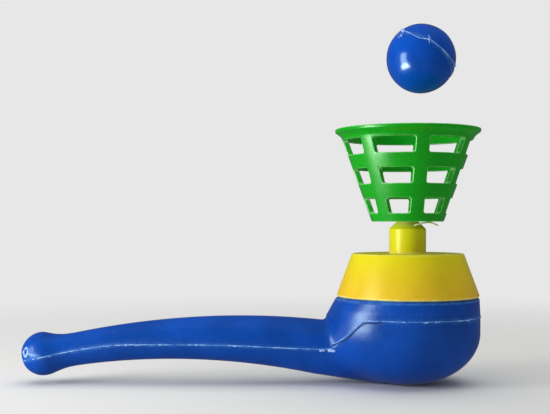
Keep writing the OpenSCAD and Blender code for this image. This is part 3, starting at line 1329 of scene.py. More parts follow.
    def _rings(self) -> Array:
        """The wall's sections, out along its outside and back along its inside.

        Returns:
            Rings of points.
        """
        s, form = self.sizes, self.form
        v = np.linspace(0, math.tau, self.sides, endpoint=False) + 0.5 * math.tau / self.sides
        quarter = [(1 - math.cos(turn), 1 - math.sin(turn)) for turn in np.radians((30, 60, 90))]
        rings = self._face_rings(v, quarter)
        first_knob = len(rings)
        knob_span = (s.knob_end + self.knob_span * s.knob_r) / s.arch_r
        shares = np.linspace(self.knob_first, 1, self.knob_rings) ** self.knob_crowding
        knob = form.face_a + knob_span * shares
        stem = np.linspace(knob[-1], form.heel_a, self.stem_rings)[1:]
        rings += [form.stem_ring(a, v) for a in (*knob, *stem)]
        first_fan = len(rings)
        fan = np.linspace(form.fan_start, 0, self.fan_rings)[1:]
        rings += [form.fan_ring(d, v) for d in fan]
        rings += self._lip_rings(v, quarter)
        rings += [form.fan_ring(d, v, s.wall) for d in fan[::-2]]
        hollow = np.linspace(form.heel_a, form.face_a + s.air_hole_len / s.arch_r, self.stem_rings)
        rings += [form.stem_ring(a, v, s.wall) for a in hollow]
        wall = self._fair_elbow(np.array(rings), first_fan, first_fan + len(fan), v)
        wall = self._fair_neck(wall, first_knob)
        self.rim_points = first_knob * self.sides
        wall = self._scar(wall)
        wall[:, :, 2] = np.maximum(wall[:, :, 2], 0.0)
        return wall

    def _face_rings(self, v: Array, quarter: Sequence[Pair]) -> list[Array]:
        """The sections of the air hole and of the knob's flat end around it.

        Args:
            v: Angles around a section.
            quarter: A quarter turn's points, for the hole's rounded edge.

        Returns:
            Rings of points.
        """
        s, form = self.sizes, self.form
        face_r = form.stem_radius(form.face_a)
        face = [(s.air_hole_r, s.air_hole_len), (s.air_hole_r, s.hole_round)]
        edge = s.hole_round
        face += [(s.air_hole_r + edge * grow, edge * sink) for grow, sink in quarter]
        face += [(face_r - inset, sink) for inset, sink in s.face_rings]
        inward = np.array([math.cos(form.face_a), 0, -math.sin(form.face_a)])
        return [form.stem_ring(form.face_a, v, radius=r) + inward * sink for r, sink in face]

    def _lip_rings(self, v: Array, quarter: Sequence[Pair]) -> list[Array]:
        """The sections of the upper bowl, its grooved lip and its mouth.

        Args:
            v: Angles around a section.
            quarter: A quarter turn's points, for the lip's rounded edge.

        Returns:
            Rings of points.
        """
        s, form = self.sizes, self.form
        edge_z = s.bowl_h - s.groove_h
        levels = np.linspace(form.pivot[1], edge_z - s.lip_round, self.bowl_rings)[1:]
        edge_r, inner_r = s.bowl_mouth_r - s.lip_inset, s.bowl_mouth_r - s.groove_depth
        round_z = s.bowl_h - s.mouth_round
        lip = [(edge_r - s.lip_round * grow, edge_z - s.lip_round * sink) for grow, sink in quarter]
        lip += [(inner_r, edge_z), (inner_r, round_z), (inner_r - s.mouth_round, s.bowl_h)]
        lip += [(s.mouth_r + s.mouth_round, s.bowl_h), (s.mouth_r, round_z)]
        lip += [(s.mouth_r, s.bowl_h - s.mouth_depth)]
        upper = [form.bowl_ring(z, v) for z in levels]
        return upper + [form.level_ring(radius, z, v) for radius, z in lip]

    def _scar_place(self) -> tuple[Array, Array]:
        """Where the round scar lies on the knob.

        Returns:
            The knob's middle, and the scar's direction from there.
        """
        x, z = self.form.stem_middle(self.form.knob_a)
        aim = np.array(self.sizes.scar_aim)
        return np.array([x, 0.0, z]), aim / np.linalg.norm(aim)

    def _from_scar(self, points: Array) -> tuple[Array, Array, Array]:
        """Measures points from the scar's axis.

        Args:
            points: Any points.

        Returns:
            Their ways from the knob's middle, and how far along and beside the axis they lie.
        """
        middle, aim = self._scar_place()
        away = points - middle
        along = away @ aim
        beside = np.square(away).sum(axis=-1) - np.square(along)
        return away, along, np.sqrt(np.maximum(0.0, beside))

    def _scar(self, rings: Array) -> Array:
        """Sinks a small round scar with a raised rim into the knob.

        Args:
            rings: The wall's sections.

        Returns:
            The sections with the scar.
        """
        s = self.sizes
        away, along, beside = self._from_scar(rings)
        reach = np.linalg.norm(away, axis=2)
        inner, outer = s.scar_band
        outside = (along > 0) & (reach > s.knob_r + inner) & (reach < s.knob_r + outer)
        pit = -s.scar_depth * np.exp(-np.square(beside / (s.scar_pit_w * s.scar_r)))
        rim = np.exp(-np.square((beside - s.scar_r) / (s.scar_rim_w * s.scar_r)))
        rim = s.scar_rim_h * s.scar_depth * rim
        return rings + (away / reach[:, :, None]) * ((pit + rim) * outside)[:, :, None]

    def _scar_line(self) -> Array:
        """The scar's wavy rim.

        Returns:
            Its points, near the knob.
        """
        middle, aim = self._scar_place()
        side = np.cross(aim, (0, 0, 1))
        side = side / np.linalg.norm(side)
        turns = self.scar_start + np.linspace(0, math.tau, self.scar_points)
        wide, narrow = self.scar_wobble
        reach = self.sizes.scar_r * (1 + wide * np.sin(3 * turns + 1) + narrow * np.sin(5 * turns))
        ring = np.outer(reach * np.cos(turns) * self.scar_squeeze, side)
        ring = ring + np.outer(reach * np.sin(turns), np.cross(side, aim))
        return middle + aim * self.sizes.knob_r + ring

    @staticmethod
    def _relax(rings: Array, weight: Array, axes: Sequence[int], pull: float, passes: int) -> Array:
        """Moves points towards the middle of their neighbours, again and again.

        Args:
            rings: The wall's sections.
            weight: How much of the move each point takes.
            axes: Whether the neighbours lie along the wall (0), around it (1), or both.
            pull: How far a full move goes.
            passes: How many times the points move.

        Returns:
            The smoothed sections.
        """
        steps = [(step, axis) for axis in axes for step in (1, -1)]
        for _ in range(passes):
            near = sum(np.roll(rings, step, axis) for step, axis in steps) / len(steps)
            rings = rings + pull * weight * (near - rings)
        return rings

    def _fair_elbow(self, rings: Array, start: int, end: int, v: Array) -> Array:
        """Smooths the hollow where the stem runs into the bowl.

        Args:
            rings: The wall's sections.
            start: The first section of the elbow.
            end: The section after its last one.
            v: Angles around a section.

        Returns:
            The smoothed sections.
        """
        turn = np.degrees(np.minimum(v, math.tau - v))
        around = math.prod(ramp(turn, none, full) for none, full in self.elbow_turns)
        number = np.arange(len(rings))
        ends = zip((start, end), self.elbow_ends)
        along = math.prod(ramp(number, at + none, at + full) for at, (none, full) in ends)
        weight = (along[:, None] * around[None, :])[:, :, None]
        return self._relax(rings, weight, (0, 1), *self.elbow_fairing)

    def _fair_neck(self, rings: Array, start: int) -> Array:
        """Softens the hollow between knob and stem.

        Args:
            rings: The wall's sections.
            start: The knob's first section.

        Returns:
            The softened sections.
        """
        middle = start + self.neck_middle * self.knob_rings
        far = np.abs(np.arange(len(rings)) - middle) / (self.neck_reach * self.knob_rings)
        weight = np.clip(1 - far, 0, 1)[:, None, None]
        return self._relax(rings, weight, (0,), *self.neck_fairing)

    def _mark_seam(self, mesh: Mesh, line: Array) -> None:
        """Marks what the mould stressed: along the parting line, the scar and the air hole.

        Args:
            mesh: The shell's mesh.
            line: The whole parting line.
        """
        s = self.sizes
        points = np.array([vertex.co for vertex in mesh.vertices])
        half = line[: len(line) // 2, [0, 2]]
        nearest = np.full(len(points), np.inf)
        for start, run in zip(half[:-1], np.diff(half, axis=0)):
            away = points[:, [0, 2]] - start
            share = np.clip(away @ run / max(run @ run, 1e-18), 0, 1)
            nearest = np.minimum(nearest, np.square(away - share[:, None] * run).sum(axis=1))
        _, along, beside = self._from_scar(points)
        scar = np.exp(-np.square((beside - s.scar_r) / self.scar_stress_w)) * (along > 0)
        stress = np.maximum(np.exp(-nearest / s.seam_reach**2), self.scar_stress * scar)
        stress[: self.rim_points] = self.hole_stress
        set_point_values(mesh, SEAM, stress)

    def _specks(self, line: Array) -> list[Array]:
        """Short thick bits of flash, scattered along the parting line.

        Args:
            line: The whole parting line.

        Returns:
            Their lines, near the shell.
        """
        chance = np.random.default_rng(self.speck_seed)
        ends = self.speck_margin, travel(line)[-1] - self.speck_margin
        specks = []
        for middle in chance.uniform(*ends, self.specks):
            half = chance.uniform(*self.speck_half)
            places = np.linspace(middle - half, middle + half, self.speck_points)
            points = points_at(line, places)
            points[:, 2] += chance.uniform(-self.speck_stray, self.speck_stray)
            specks.append(points)
        return specks

    def _torn_ends(self) -> list[Array]:
        """Torn ends of flash at the foot of the seam's step, on both sides.

        Returns:
            Their lines, on the shell.
        """
        foot_x, foot_z = self.form.seam_foot
        lines = []
        for side in (-1, 1):
            for start, end in self.torn_spans:
                row = foot_x + np.linspace(start, end, self.torn_points)
                far = side * self.sizes.bowl_r * 2
                beside = (Vector((x, far, foot_z - self.torn_drop)) for x in row)
                found = (self.skin.ray_cast(point, Vector((0, -side, 0))) for point in beside)
                lines.append(np.array([at + out * self.torn.proud for at, out, _, _ in found]))
        return lines

    def _mouth_tab(self) -> Array:
        """A tab of flash at the bowl's mouth, opposite the stem.

        Returns:
            Its line.
        """
        s, (low, high) = self.sizes, self.tab_span
        z = np.linspace(s.bowl_h - low, s.bowl_h - high, self.tab_points)
        arch = np.sin(np.linspace(*self.tab_arch, self.tab_points))
        x = s.bowl_mouth_r + self.tab_bulge * arch - self.tab_sink
        return np.column_stack([x, np.full_like(x, self.tab_side), z])


@dataclass
class NozzleCap:
    """The push-in cap: plug, cone, nozzle tube and the spigot that carries the basket."""

    finishes: Finishes
    skirt_r: float = 24.9 * MM
    top_r: float = 19.4 * MM
    height: float = 15.0 * MM
    wall: float = 1.3 * MM
    plug_r: float = 23.35 * MM
    plug_len: float = 5.0 * MM
    tube_r: float = 6.4 * MM
    tube_len: float = 8.5 * MM
    spigot_r: float = 3.8 * MM
    spigot_top_rise: float = 2.0 * MM
    jet_r: float = 2.5 * MM
    skirt_round: float = 0.55 * MM
    top_round: float = 0.7 * MM
    tube_foot_round: float = 0.5 * MM
    shoulder_round: float = 0.6 * MM
    spigot_round: float = 0.25 * MM
    jet_round: float = 0.2 * MM
    plug_round: float = 0.3 * MM
    inner_round: float = 0.3 * MM
    least_round: float = 0.12 * MM
    pale_edge_bend: Pair = (10.0, 18.0)
    sides: int = 200

    def build(self) -> list[Object]:
        """Builds the cap.

        Returns:
            The piece.
        """
        low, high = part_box("nozzle_cap")
        bottom = low.z + self.plug_len
        tube_z = bottom + self.height
        shoulder_z = tube_z + self.tube_len
        basket_z = high.z - self.spigot_top_rise
        bore, tube_bore = self.plug_r - self.wall, self.tube_r - self.wall
        slope = (self.skirt_r - self.top_r) / self.height
        roof_z = tube_z - self.wall
        corners = [
            (self.skirt_r, bottom, self.skirt_round),
            (self.top_r, tube_z, self.top_round),
            (self.tube_r, tube_z, self.tube_foot_round),
            (self.tube_r, shoulder_z, self.shoulder_round),
            (self.spigot_r, basket_z, 0),
            (self.spigot_r, high.z, self.spigot_round),
            (self.jet_r, high.z, self.jet_round),
            (self.jet_r, basket_z - self.wall, self.least_round),
            (tube_bore, shoulder_z - self.wall, self.least_round),
            (tube_bore, roof_z, self.inner_round),
            (self.top_r + slope * self.wall - self.wall, roof_z, self.inner_round),
            (bore, bottom + (self.skirt_r - self.wall - bore) / slope, 0),
            (bore, low.z, self.plug_round),
            (self.plug_r, low.z, self.plug_round),
            (self.plug_r, bottom, self.least_round),
        ]
        cap = new_object("cap_shell", revolve("cap_shell", rounded(corners), self.sides))
        # The yellow finish paints these marked edges pale as painted highlights.
        mark_edges(cap.data, *self.pale_edge_bend)
        finish_piece(cap, self.finishes.yellow, Body.PIPE, "nozzle_cap")
        return [cap]


class RingOfBays(GeometryTree):
    """Geometry Nodes that set copies of one bay around an axis and join them."""

    WELD = 0.002 * MM

    def __init__(self) -> None:
        """Builds the tree."""
        super().__init__("ring of bays", "Bay", {"Bays": "Int", "First turn": "Float"})
        add, given = self.graph.add, self.given
        axis = add("GeometryNodePoints", {"Count": given["Bays"]})["Points"]
        turn = add("GeometryNodeInputIndex")["Index"] * math.tau / given["Bays"]
        rotation = add("ShaderNodeCombineXYZ", {"Z": turn + given["First turn"]})["Vector"]
        ring = {"Points": axis, "Instance": given["Bay"], "Rotation": rotation}
        copies = add("GeometryNodeInstanceOnPoints", ring)["Instances"]
        real = add("GeometryNodeRealizeInstances", {"Geometry": copies})["Geometry"]
        joined = add("GeometryNodeMergeByDistance", {"Geometry": real, "Distance": self.WELD})
        self.end(joined["Geometry"])


@dataclass
class BallBasket:
    """The lattice basket: a floor, ribs and bands with windows between, and a flared rim."""

    finishes: Finishes
    base_r: float = 12.5 * MM
    top_r: float = 23.7 * MM
    rim_r: float = 25.29 * MM
    rim_t: float = 1.1 * MM
    rim_flare: float = 2.1 * MM
    flare_turn: float = 0.4
    flare_steps: int = 6
    wall: float = 1.9 * MM
    floor_t: float = 1.4 * MM
    hub_r: float = 3.85 * MM
    ribs: int = 7
    rib_w: float = 4.8 * MM
    rib_turn: float = math.radians(6 - 90)
    rows: int = 3
    window_h: float = 5.2 * MM
    window_z: float = 2.9 * MM
    row_step: float = 10.1 * MM
    rib_steps: int = 2
    window_steps: int = 9
    edge_round: float = 0.34 * MM
    edge_bend: float = math.radians(42)
    corner_round: float = 0.75 * MM
    round_steps: int = 3
    level_slack: float = 0.01 * MM
    through_slack: float = 0.3 * MM
    least_bend: float = 1.0
    pale_edge_bend: Pair = (18.0, 28.0)
    sliver: FlashSizes = FlashSizes(0.28 * MM, 0.1 * MM)
    sliver_points: int = 44
    sliver_turns: Pair = (math.radians(-78), math.radians(-29))
    sliver_reach: Pair = (5.85 * MM, 11.45 * MM)
    sliver_sway: float = 0.12 * MM
    sliver_gap: float = 0.22 * MM
    sliver_sag: float = 1.2 * MM
    sliver_top: float = 0.62
    sliver_waves: float = 11.0
    sliver_curl: float = 1.4

    def build(self) -> list[Object]:
        """Builds the basket.

        Returns:
            The pieces.
        """
        low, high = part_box("ball_basket")
        self.base_z = low.z
        self.height = high.z - low.z
        self.slope = (self.top_r - self.base_r) / (self.height - self.rim_t)
        basket = new_object("lattice_basket", self._bay())
        ring = {"Bays": self.ribs, "First turn": self.rib_turn, "Material": self.finishes.green}
        RingOfBays().apply(basket, ring)
        self._round_windows(basket.data)
        bevel = basket.modifiers.new("rounded edges", "BEVEL")
        bevel.width = self.edge_round
        bevel.segments = self.round_steps
        bevel.limit_method = "ANGLE"
        bevel.angle_limit = self.edge_bend
        settle(basket)
        basket.data.shade_smooth()
        # The green finish paints these marked edges pale as painted highlights.
        mark_edges(basket.data, *self.pale_edge_bend)
        basket.modifiers.new("even shading", "WEIGHTED_NORMAL").keep_sharp = False
        settle(basket)
        finish_piece(basket, self.finishes.green, Body.BASKET, "ball_basket")
        flash = self.finishes.green_flash
        marks: list[Mark] = [("floor_flash", [self._floor_flash()], self.sliver, flash)]
        return [basket, *FlashBead().lay(marks, Body.BASKET, Slot.GREEN)]

    def _profile(self) -> list[Pair]:
        """The wall's closed section: the outside, the rim, the inside and the floor's top.

        Returns:
            Points as radius and height above the basket's underside.
        """
        sills = [self.window_z + row * self.row_step for row in range(self.rows)]
        levels = [z + side for z in sills for side in (0, self.window_h)]
        outside = [(self.base_r + self.slope * z, z) for z in levels]
        inside = [(r - self.wall, z) for r, z in outside]
        foot_z = self.height - self.rim_t - self.rim_flare
        bend_z = foot_z + self.flare_turn * self.rim_flare
        foot, bend = (np.array((self.base_r + self.slope * z, z)) for z in (foot_z, bend_z))
        lip = np.array((self.rim_r, self.height - self.rim_t))
        shares = np.linspace(0, 1, self.flare_steps + 1)
        flare = [tuple(foot * (1 - t) ** 2 + bend * 2 * t * (1 - t) + lip * t**2) for t in shares]
        base = [(self.hub_r, 0.0), (self.base_r, 0.0)]
        ends = (self.height, self.floor_t)
        top_in, base_in = (self.base_r + self.slope * z - self.wall for z in ends)
        out_and_over = [*base, *outside, *flare, (self.rim_r, self.height), (top_in, self.height)]
        self.first_out, self.first_in = len(base), len(out_and_over)
        return [*out_and_over, *inside[::-1], (base_in, self.floor_t), (self.hub_r, self.floor_t)]

    def _bay(self) -> Mesh:
        """One bay, from the middle of a rib to the middle of the next.

        Returns:
            The open mesh.
        """
        profile = self._profile()
        count, bay = len(profile), math.tau / self.ribs
        left, right = self.rib_steps, self.rib_steps + self.window_steps
        last = right + self.rib_steps
        points = []
        for column in range(last + 1):
            for r, z in profile:
                edge = math.asin(self.rib_w / 2 / max(r, self.base_r - self.wall))
                turn = float(np.interp(column, (0, left, right, last), (0, edge, bay - edge, bay)))
                points.append((r * math.cos(turn), r * math.sin(turn), self.base_z + z))
        last_in = self.first_in + 2 * self.rows - 1
        sills = [(self.first_out + 2 * row, last_in - 2 * row) for row in range(self.rows)]
        heads = [(out + 1, inn - 1) for out, inn in sills]
        open_spans = {out for out, _ in sills} | {inn for _, inn in heads}
        steps = [(p, (p + 1) % count) for p in range(count)]
        faces = []
        for column in range(last):
            here, there = column * count, (column + 1) * count
            window = left <= column < right
            spans = [step for step in steps if not (window and step[0] in open_spans)]
            faces += [(here + p, there + p, there + q, here + q) for p, q in spans]
            ledges = sills + heads if window else []
            faces += [(here + out, here + inn, there + inn, there + out) for out, inn in ledges]
        for at in (left * count, right * count):
            faces += [(at + out, at + out + 1, at + inn - 1, at + inn) for out, inn in sills]
        mesh = bpy.data.meshes.new("basket bay")
        mesh.from_pydata(points, [], faces)
        return mesh

    def _round_windows(self, mesh: Mesh) -> None:
        """Points the faces outwards and rounds the windows' corners.

        Args:
            mesh: The whole basket's mesh.
        """
        work = bmesh.new()
        work.from_mesh(mesh)
        bmesh.ops.recalc_face_normals(work, faces=work.faces)
        corners = []
        for edge in work.edges:
            start, end = (v.co for v in edge.verts)
            level = abs(start.z - end.z) < self.level_slack
            thick = abs(start.xy.length - end.xy.length)
            through = abs(thick - self.wall) < self.through_slack
            in_wall = self.floor_t < start.z - self.base_z < self.height - self.rim_t
            bent = edge.calc_face_angle(0.0) > self.least_bend
            if level and through and in_wall and bent:
                corners.append(edge)
        bmesh.ops.bevel(
            work,
            geom=corners,
            offset=self.corner_round,
            segments=self.round_steps,
            profile=0.5,
            affect="EDGES",
        )
        work.to_mesh(mesh)
        work.free()

    def _floor_flash(self) -> Array:
        """A torn sliver of flash that hangs from the floor's underside, on the right.

        Returns:
            Its line.
        """
        share = np.linspace(0, 1, self.sliver_points)
        turns = np.linspace(*self.sliver_turns, self.sliver_points)
        radius = np.linspace(*self.sliver_reach, self.sliver_points)
        radius = radius + self.sliver_sway * np.sin(self.sliver_waves * share)
        from_top = np.abs(np.interp(share, (0, self.sliver_top, 1), (-1, 0, 1)))
        sag = from_top**self.sliver_curl
        height = self.base_z - self.sliver_gap - self.sliver_sag * sag
        return np.column_stack([radius * np.cos(turns), radius * np.sin(turns), height])


@dataclass
class FloatingBall:
    """The light hollow ball: two moulded halves, their seam, and the nubs where it was trimmed.

    The seam's strays and the burrs' ends are angles along the seam in degrees, and distances
    beside it in millimetres.
    """

    finishes: Finishes
    radius: float = 12.1 * MM
    middle: Point = (4.7 * MM, 0.0, 113.4 * MM)
    seam_tilt: float = math.radians(41)
    seam_turn: float = math.radians(35)
    ridge: float = 0.12 * MM
    back_ridge: float = 0.04 * MM
    ridge_w: float = 0.5 * MM
    seam_mark_w: float = 0.6 * MM
    seam_step: float = 0.18 * MM
    seam: FlashSizes = FlashSizes(
        bead_r=0.17 * MM,
        raggedness=0.11 * MM,
        grain=0.7 * MM,
        gaps=0.4,
        gap_grain=6.0 * MM,
        proud=0.06 * MM,
    )
    back_seam: FlashSizes = FlashSizes(0.06 * MM, 0.03 * MM)
    back_gap: float = 0.1
    dent_aim: Point = (-0.72, -0.15, 0.68)
    dent_depth: float = 0.3 * MM
    dent_share: float = 0.8
    lump_depth: float = 0.09 * MM
    lumps: float = 1.6
    lump_shift: Point = (3.1, 0.4, 7.7)
    nub: FlashSizes = FlashSizes(0.48 * MM, 0.26 * MM, 0.6 * MM)
    nub_turns: Pair = (math.radians(176), math.radians(303))
    nub_span: Pair = (-0.7 * MM, 0.8 * MM)
    nub_points: int = 8
    strays: tuple[Pair, ...] = (
        (172, 2.0), (182, 1.1), (196, -0.1), (208, -0.8), (220, -1.2), (228, -0.5),
        (235, 0.2), (249, 0.0), (262, 0.2), (277, 0.4), (292, 1.0), (304, 1.5),
    )
    burr: FlashSizes = FlashSizes(0.26 * MM, 0.34 * MM, 0.5 * MM, proud=0.02 * MM)
    burr_points: int = 10
    thick_burrs: tuple[tuple[Pair, Pair], ...] = (
        ((176, 0.5), (184, -0.9)),
        ((182, -1.9), (187, -2.6)),
        ((179, -3.4), (183, -2.9)),
        ((232, 0.5), (235, -0.5)),
    )
    thin_burrs: tuple[tuple[Pair, Pair], ...] = (
        ((183, -0.4), (184, -2.4)),
        ((229, 2.2), (238, -1.6)),
    )
    sides: int = 160
    steps: int = 60
    crowding: float = 1.7

    def build(self) -> list[Object]:
        """Builds the ball, its seam and its nubs.

        Returns:
            The pieces.
        """
        turned = Matrix.Rotation(self.seam_turn, 4, "Z") @ Matrix.Rotation(self.seam_tilt, 4, "Y")
        self.place = Matrix.Translation(self.middle) @ turned
        ball = new_object("ball_shell", self._shell())
        finish_piece(ball, self.finishes.ball, Body.BALL, "ball")
        flash, torn = self.finishes.blue_flash, self.finishes.torn
        start, end = self.nub_turns
        front = self._seam_arc(start, end, self.seam.proud)
        back = self._seam_arc(end + self.back_gap, start + math.tau, self.back_seam.proud)
        stubs = self._nubs() + self._burr_lines(self.thick_burrs)
        crosses = self._burr_lines(self.thin_burrs)
        marks: list[Mark] = [
            ("ball_seam", [front], self.seam, flash),
            ("ball_seam_back", [back], self.back_seam, self.finishes.ball),
            ("ball_nubs", stubs, self.nub, torn),
            ("ball_burrs", crosses, self.burr, flash),
        ]
        return [ball, *FlashBead().lay(marks, Body.BALL, Slot.BALL)]

    def _wander(self, turn: float) -> float:
        """How far the seam strays from a flat circle at an angle along it, in metres."""
        turns, strays = zip(*self.strays)
        return float(np.interp(math.degrees(turn) % 360, turns, strays, period=360)) * MM

    def _out(self, turn: float, rise: float, reach: float) -> Vector:
        """A point of the ball, by its angle along the seam, its rise beside it and its distance."""
        return self.place @ (Vector((math.cos(turn), math.sin(turn), rise)).normalized() * reach)

    def _shell(self) -> Mesh:
        """The closed ball, with a low ridge along its seam.

        Returns:
            The mesh, in place.
        """
        even = np.linspace(-1, 1, 2 * self.steps + 1)[1:-1]
        heights = np.sign(even) * np.abs(even) ** self.crowding * math.pi / 2
        turns = np.linspace(0, math.tau, self.sides, endpoint=False)
        points: list[Vector] = [Vector((0, 0, -self.radius))]
        dent = (self.place.to_3x3().inverted() @ Vector(self.dent_aim)).normalized()
        for lat in heights:
            level, rise = math.cos(lat), math.sin(lat)
            for turn in turns:
                off_seam = lat * self.radius - self._wander(turn)
                fade = math.exp(-((off_seam / self.ridge_w * 2) ** 2))
                aim = Vector((level * math.cos(turn), level * math.sin(turn), rise))
                trimmed = self.nub_turns[0] < turn < self.nub_turns[1]
                lump = noise.noise(aim * self.lumps + Vector(self.lump_shift))
                reach = self.radius + (self.ridge if trimmed else self.back_ridge) * fade
                reach += self.lump_depth * lump - self.lump_depth / 3
                flat = (self.radius - self.dent_depth) / max(0.1, aim.dot(dent))
                deepest = reach - self.dent_share * self.dent_depth
                points.append(aim * min(reach, max(flat, deepest)))
        points.append(Vector((0, 0, self.radius)))
        top = len(points) - 1
        faces = fan_faces(1, self.sides, 0) + ring_faces(len(heights), self.sides, 1)
        faces += fan_faces(top - self.sides, self.sides, top)
        mesh = build_mesh("ball_shell", [self.place @ p for p in points], faces)
        stress = [math.exp(-((p.z / self.seam_mark_w) ** 2)) for p in points]
        set_point_values(mesh, SEAM, np.array(stress))
        return mesh

    def _seam_arc(self, start: float, end: float, proud: float) -> Array:
        """A stretch of the seam.

        Args:
            start: The angle where it starts, in radians.
            end: The angle where it ends.
            proud: How far outside the ball it lies.

        Returns:
            Its points.
        """
        reach = self.radius + self.ridge + proud
        turns = np.linspace(start, end, int((end - start) * self.radius / self.seam_step))
        rises = ((turn, self._wander(turn) / self.radius) for turn in turns)
        return np.array([self._out(turn, rise, reach) for turn, rise in rises])

    def _nubs(self) -> list[Array]:
        """Short lines that stand out where the flash was trimmed.

        Returns:
            The lines.
        """
        inner, outer = self.nub_span
        spans = np.linspace(self.radius + inner, self.radius + outer, self.nub_points)
        rises = [(turn, self._wander(turn) / self.radius) for turn in self.nub_turns]
        return [np.array([self._out(turn, rise, reach) for reach in spans]) for turn, rise in rises]

    def _burr_lines(self, burrs: Sequence[tuple[Pair, Pair]]) -> list[Array]:
        """Short lines across the seam.

        Args:
            burrs: The two ends of each.

        Returns:
            The lines.
        """
        lines = []
        for first, last in burrs:
            points = []
            for degrees, beside in np.linspace(first, last, self.burr_points):
                turn = math.radians(degrees)
                lat = (self._wander(turn) + beside * MM) / self.radius
                points.append(self._out(turn, math.tan(lat), self.radius + self.burr.proud))
            lines.append(np.array(points))
        return lines


@dataclass(frozen=True)
class PhotoCamera:
    """The photograph's viewpoint: level, and looking straight along +Y."""

    frame_w_px: float = 550.0
    frame_h_px: float = 414.0
    distance_px: float = 1000.0
    horizon_row_px: float = 219.84
    place: Point = (-46.4 * MM, -350.0 * MM, 57.0 * MM)
    sensor_mm: float = 36.0

    def build(self) -> None:
        """Builds the scene's camera."""
        camera = bpy.data.cameras.new("photo camera")
        camera.sensor_width = self.sensor_mm
        camera.lens = self.sensor_mm * self.distance_px / self.frame_w_px
        camera.shift_y = (self.horizon_row_px - self.frame_h_px / 2) / self.frame_w_px
        camera.clip_start = 0.01
        holder = bpy.data.objects.new("photo_camera", camera)
        holder.location = self.place
        holder.rotation_euler = (math.pi / 2, 0, 0)
        bpy.context.scene.collection.objects.link(holder)
        bpy.context.scene.camera = holder


@dataclass(frozen=True)
class Lamp:
    """A soft rectangular lamp that points at a place."""

    name: str
    target: Point
    turn_deg: float
    lift_deg: float
    distance: float
    size: Pair
    watts: float
    mirrored: bool = False
    lights: bool = True
    tip_deg: float = 0.0

    def build(self) -> None:
        """Builds the lamp."""
        turn, lift = math.radians(self.turn_deg), math.radians(self.lift_deg)
        level = math.cos(lift)
        aim = Vector((math.sin(turn) * level, -math.cos(turn) * level, math.sin(lift)))
        light = bpy.data.lights.new(self.name, "AREA")
        light.shape = "RECTANGLE"
        light.size, light.size_y = self.size
        light.energy = self.watts
        lamp = bpy.data.objects.new(self.name, light)
        lamp.location = Vector(self.target) + aim * self.distance
        tip = Matrix.Rotation(math.radians(self.tip_deg), 4, "X")
        lamp.rotation_euler = (aim.to_track_quat("Z", "Y").to_matrix().to_4x4() @ tip).to_euler()
        lamp.visible_diffuse = self.lights
        lamp.visible_glossy = self.mirrored
        lamp.visible_camera = False
        bpy.context.scene.collection.objects.link(lamp)


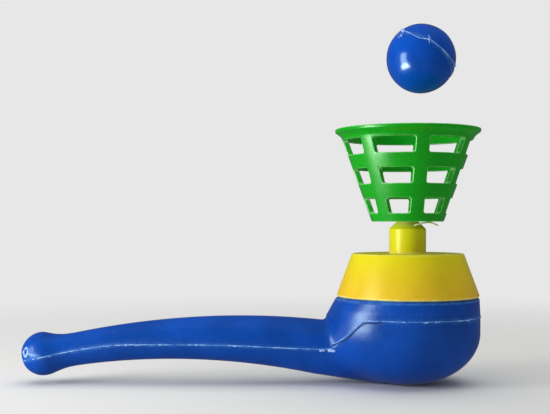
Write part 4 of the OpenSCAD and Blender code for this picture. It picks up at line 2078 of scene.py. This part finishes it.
@dataclass
class Studio:
    """A pale floor that fades into a pale surround, and soft lamps."""

    floor_colour: Colour = (0.83, 0.83, 0.82)
    sky_colour: Colour = (0.80, 0.80, 0.80)
    sky_level: float = 0.38
    mirror_level: float = 0.14
    floor_r: float = 0.45
    floor_middle_r: float = 0.02
    fade: Pair = (0.1, 0.43)
    unevenness: float = 0.015
    cloud_grain: float = 0.25
    sides: int = 96
    rings: int = 12
    lamps: tuple[Lamp, ...] = (
        Lamp(
            "window lamp",
            target=(-0.03, 0.0, 0.113),
            turn_deg=-66,
            lift_deg=0,
            distance=0.45,
            size=(0.17, 0.22),
            watts=1.7,
            mirrored=True,
        ),
        Lamp(
            "low card",
            target=(0.005, 0.0, 0.002),
            turn_deg=-66,
            lift_deg=0,
            distance=0.29,
            size=(0.12, 0.22),
            watts=3.7,
            mirrored=True,
            lights=False,
            tip_deg=90,
        ),
        Lamp(
            "ceiling lamp",
            target=(0.0, 0.1, 0.0),
            turn_deg=0,
            lift_deg=90,
            distance=1.2,
            size=(1.6, 1.6),
            watts=9.7,
        ),
    )

    def build(self) -> None:
        """Builds the floor, the world and the lamps."""
        bpy.context.scene.view_settings.view_transform = "Standard"
        self._floor()
        self._world()
        for lamp in self.lamps:
            lamp.build()

    def _floor(self) -> None:
        """Builds the floor."""
        turns = np.linspace(0, math.tau, self.sides, endpoint=False)
        reaches = np.linspace(self.floor_r, self.floor_middle_r, self.rings)
        points = [(r * math.cos(turn), r * math.sin(turn), 0.0) for r in reaches for turn in turns]
        points.append((0.0, 0.0, 0.0))
        middle = len(points) - 1
        faces = ring_faces(self.rings, self.sides)
        faces += fan_faces(middle - self.sides, self.sides, middle)
        mesh = bpy.data.meshes.new("studio floor")
        mesh.from_pydata(points, [], faces)
        floor = new_object("studio_floor", mesh)
        material = bpy.data.materials.new("pale paper")
        graph = shader_graph(material)
        place = graph.add("ShaderNodeTexCoord")["Object"]
        cloud = graph.noise(place, self.cloud_grain, 2.0)
        low, high = (shade(self.floor_colour, 1 + d) for d in (-self.unevenness, self.unevenness))
        tone = graph.mix(cloud, low, high)
        reach = graph.add("ShaderNodeVectorMath", {0: place}, operation="LENGTH")["Value"]
        graph.surface({"Base Color": tone, "Roughness": 0.9, "Alpha": 1 - reach.rise(*self.fade)})
        mesh.materials.append(material)
        floor.visible_glossy = False

    def _world(self) -> None:
        """Lights the scene evenly from all round."""
        world = bpy.data.worlds.new("studio")
        graph = shader_graph(world)
        ray = graph.add("ShaderNodeLightPath")
        level = self.sky_level + ray["Is Camera Ray"] * (1 - self.sky_level)
        level = level + ray["Is Glossy Ray"] * (self.mirror_level - self.sky_level)
        sockets = {"Color": as_colour(self.sky_colour), "Strength": level}
        sky = graph.add("ShaderNodeBackground", sockets)["Background"]
        graph.add("ShaderNodeOutputWorld", {"Surface": sky})
        bpy.context.scene.world = world


def plain(corners: Sequence[Vector]) -> list[list[float]]:
    """Two corners as plain lists of numbers."""
    return [[float(part) for part in corner] for corner in corners]


def main() -> None:
    """Builds the whole scene."""
    logging.basicConfig(level=logging.INFO, format="%(name)s: %(message)s")
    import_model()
    PhotoCamera().build()
    Studio().build()
    finishes = Finishes()
    for assembly in (PipeShell, NozzleCap, BallBasket, FloatingBall):
        pieces = assembly(finishes).build()
        LOG.info("%s: %d pieces", assembly.__name__, len(pieces))


if __name__ == "__main__":
    main()
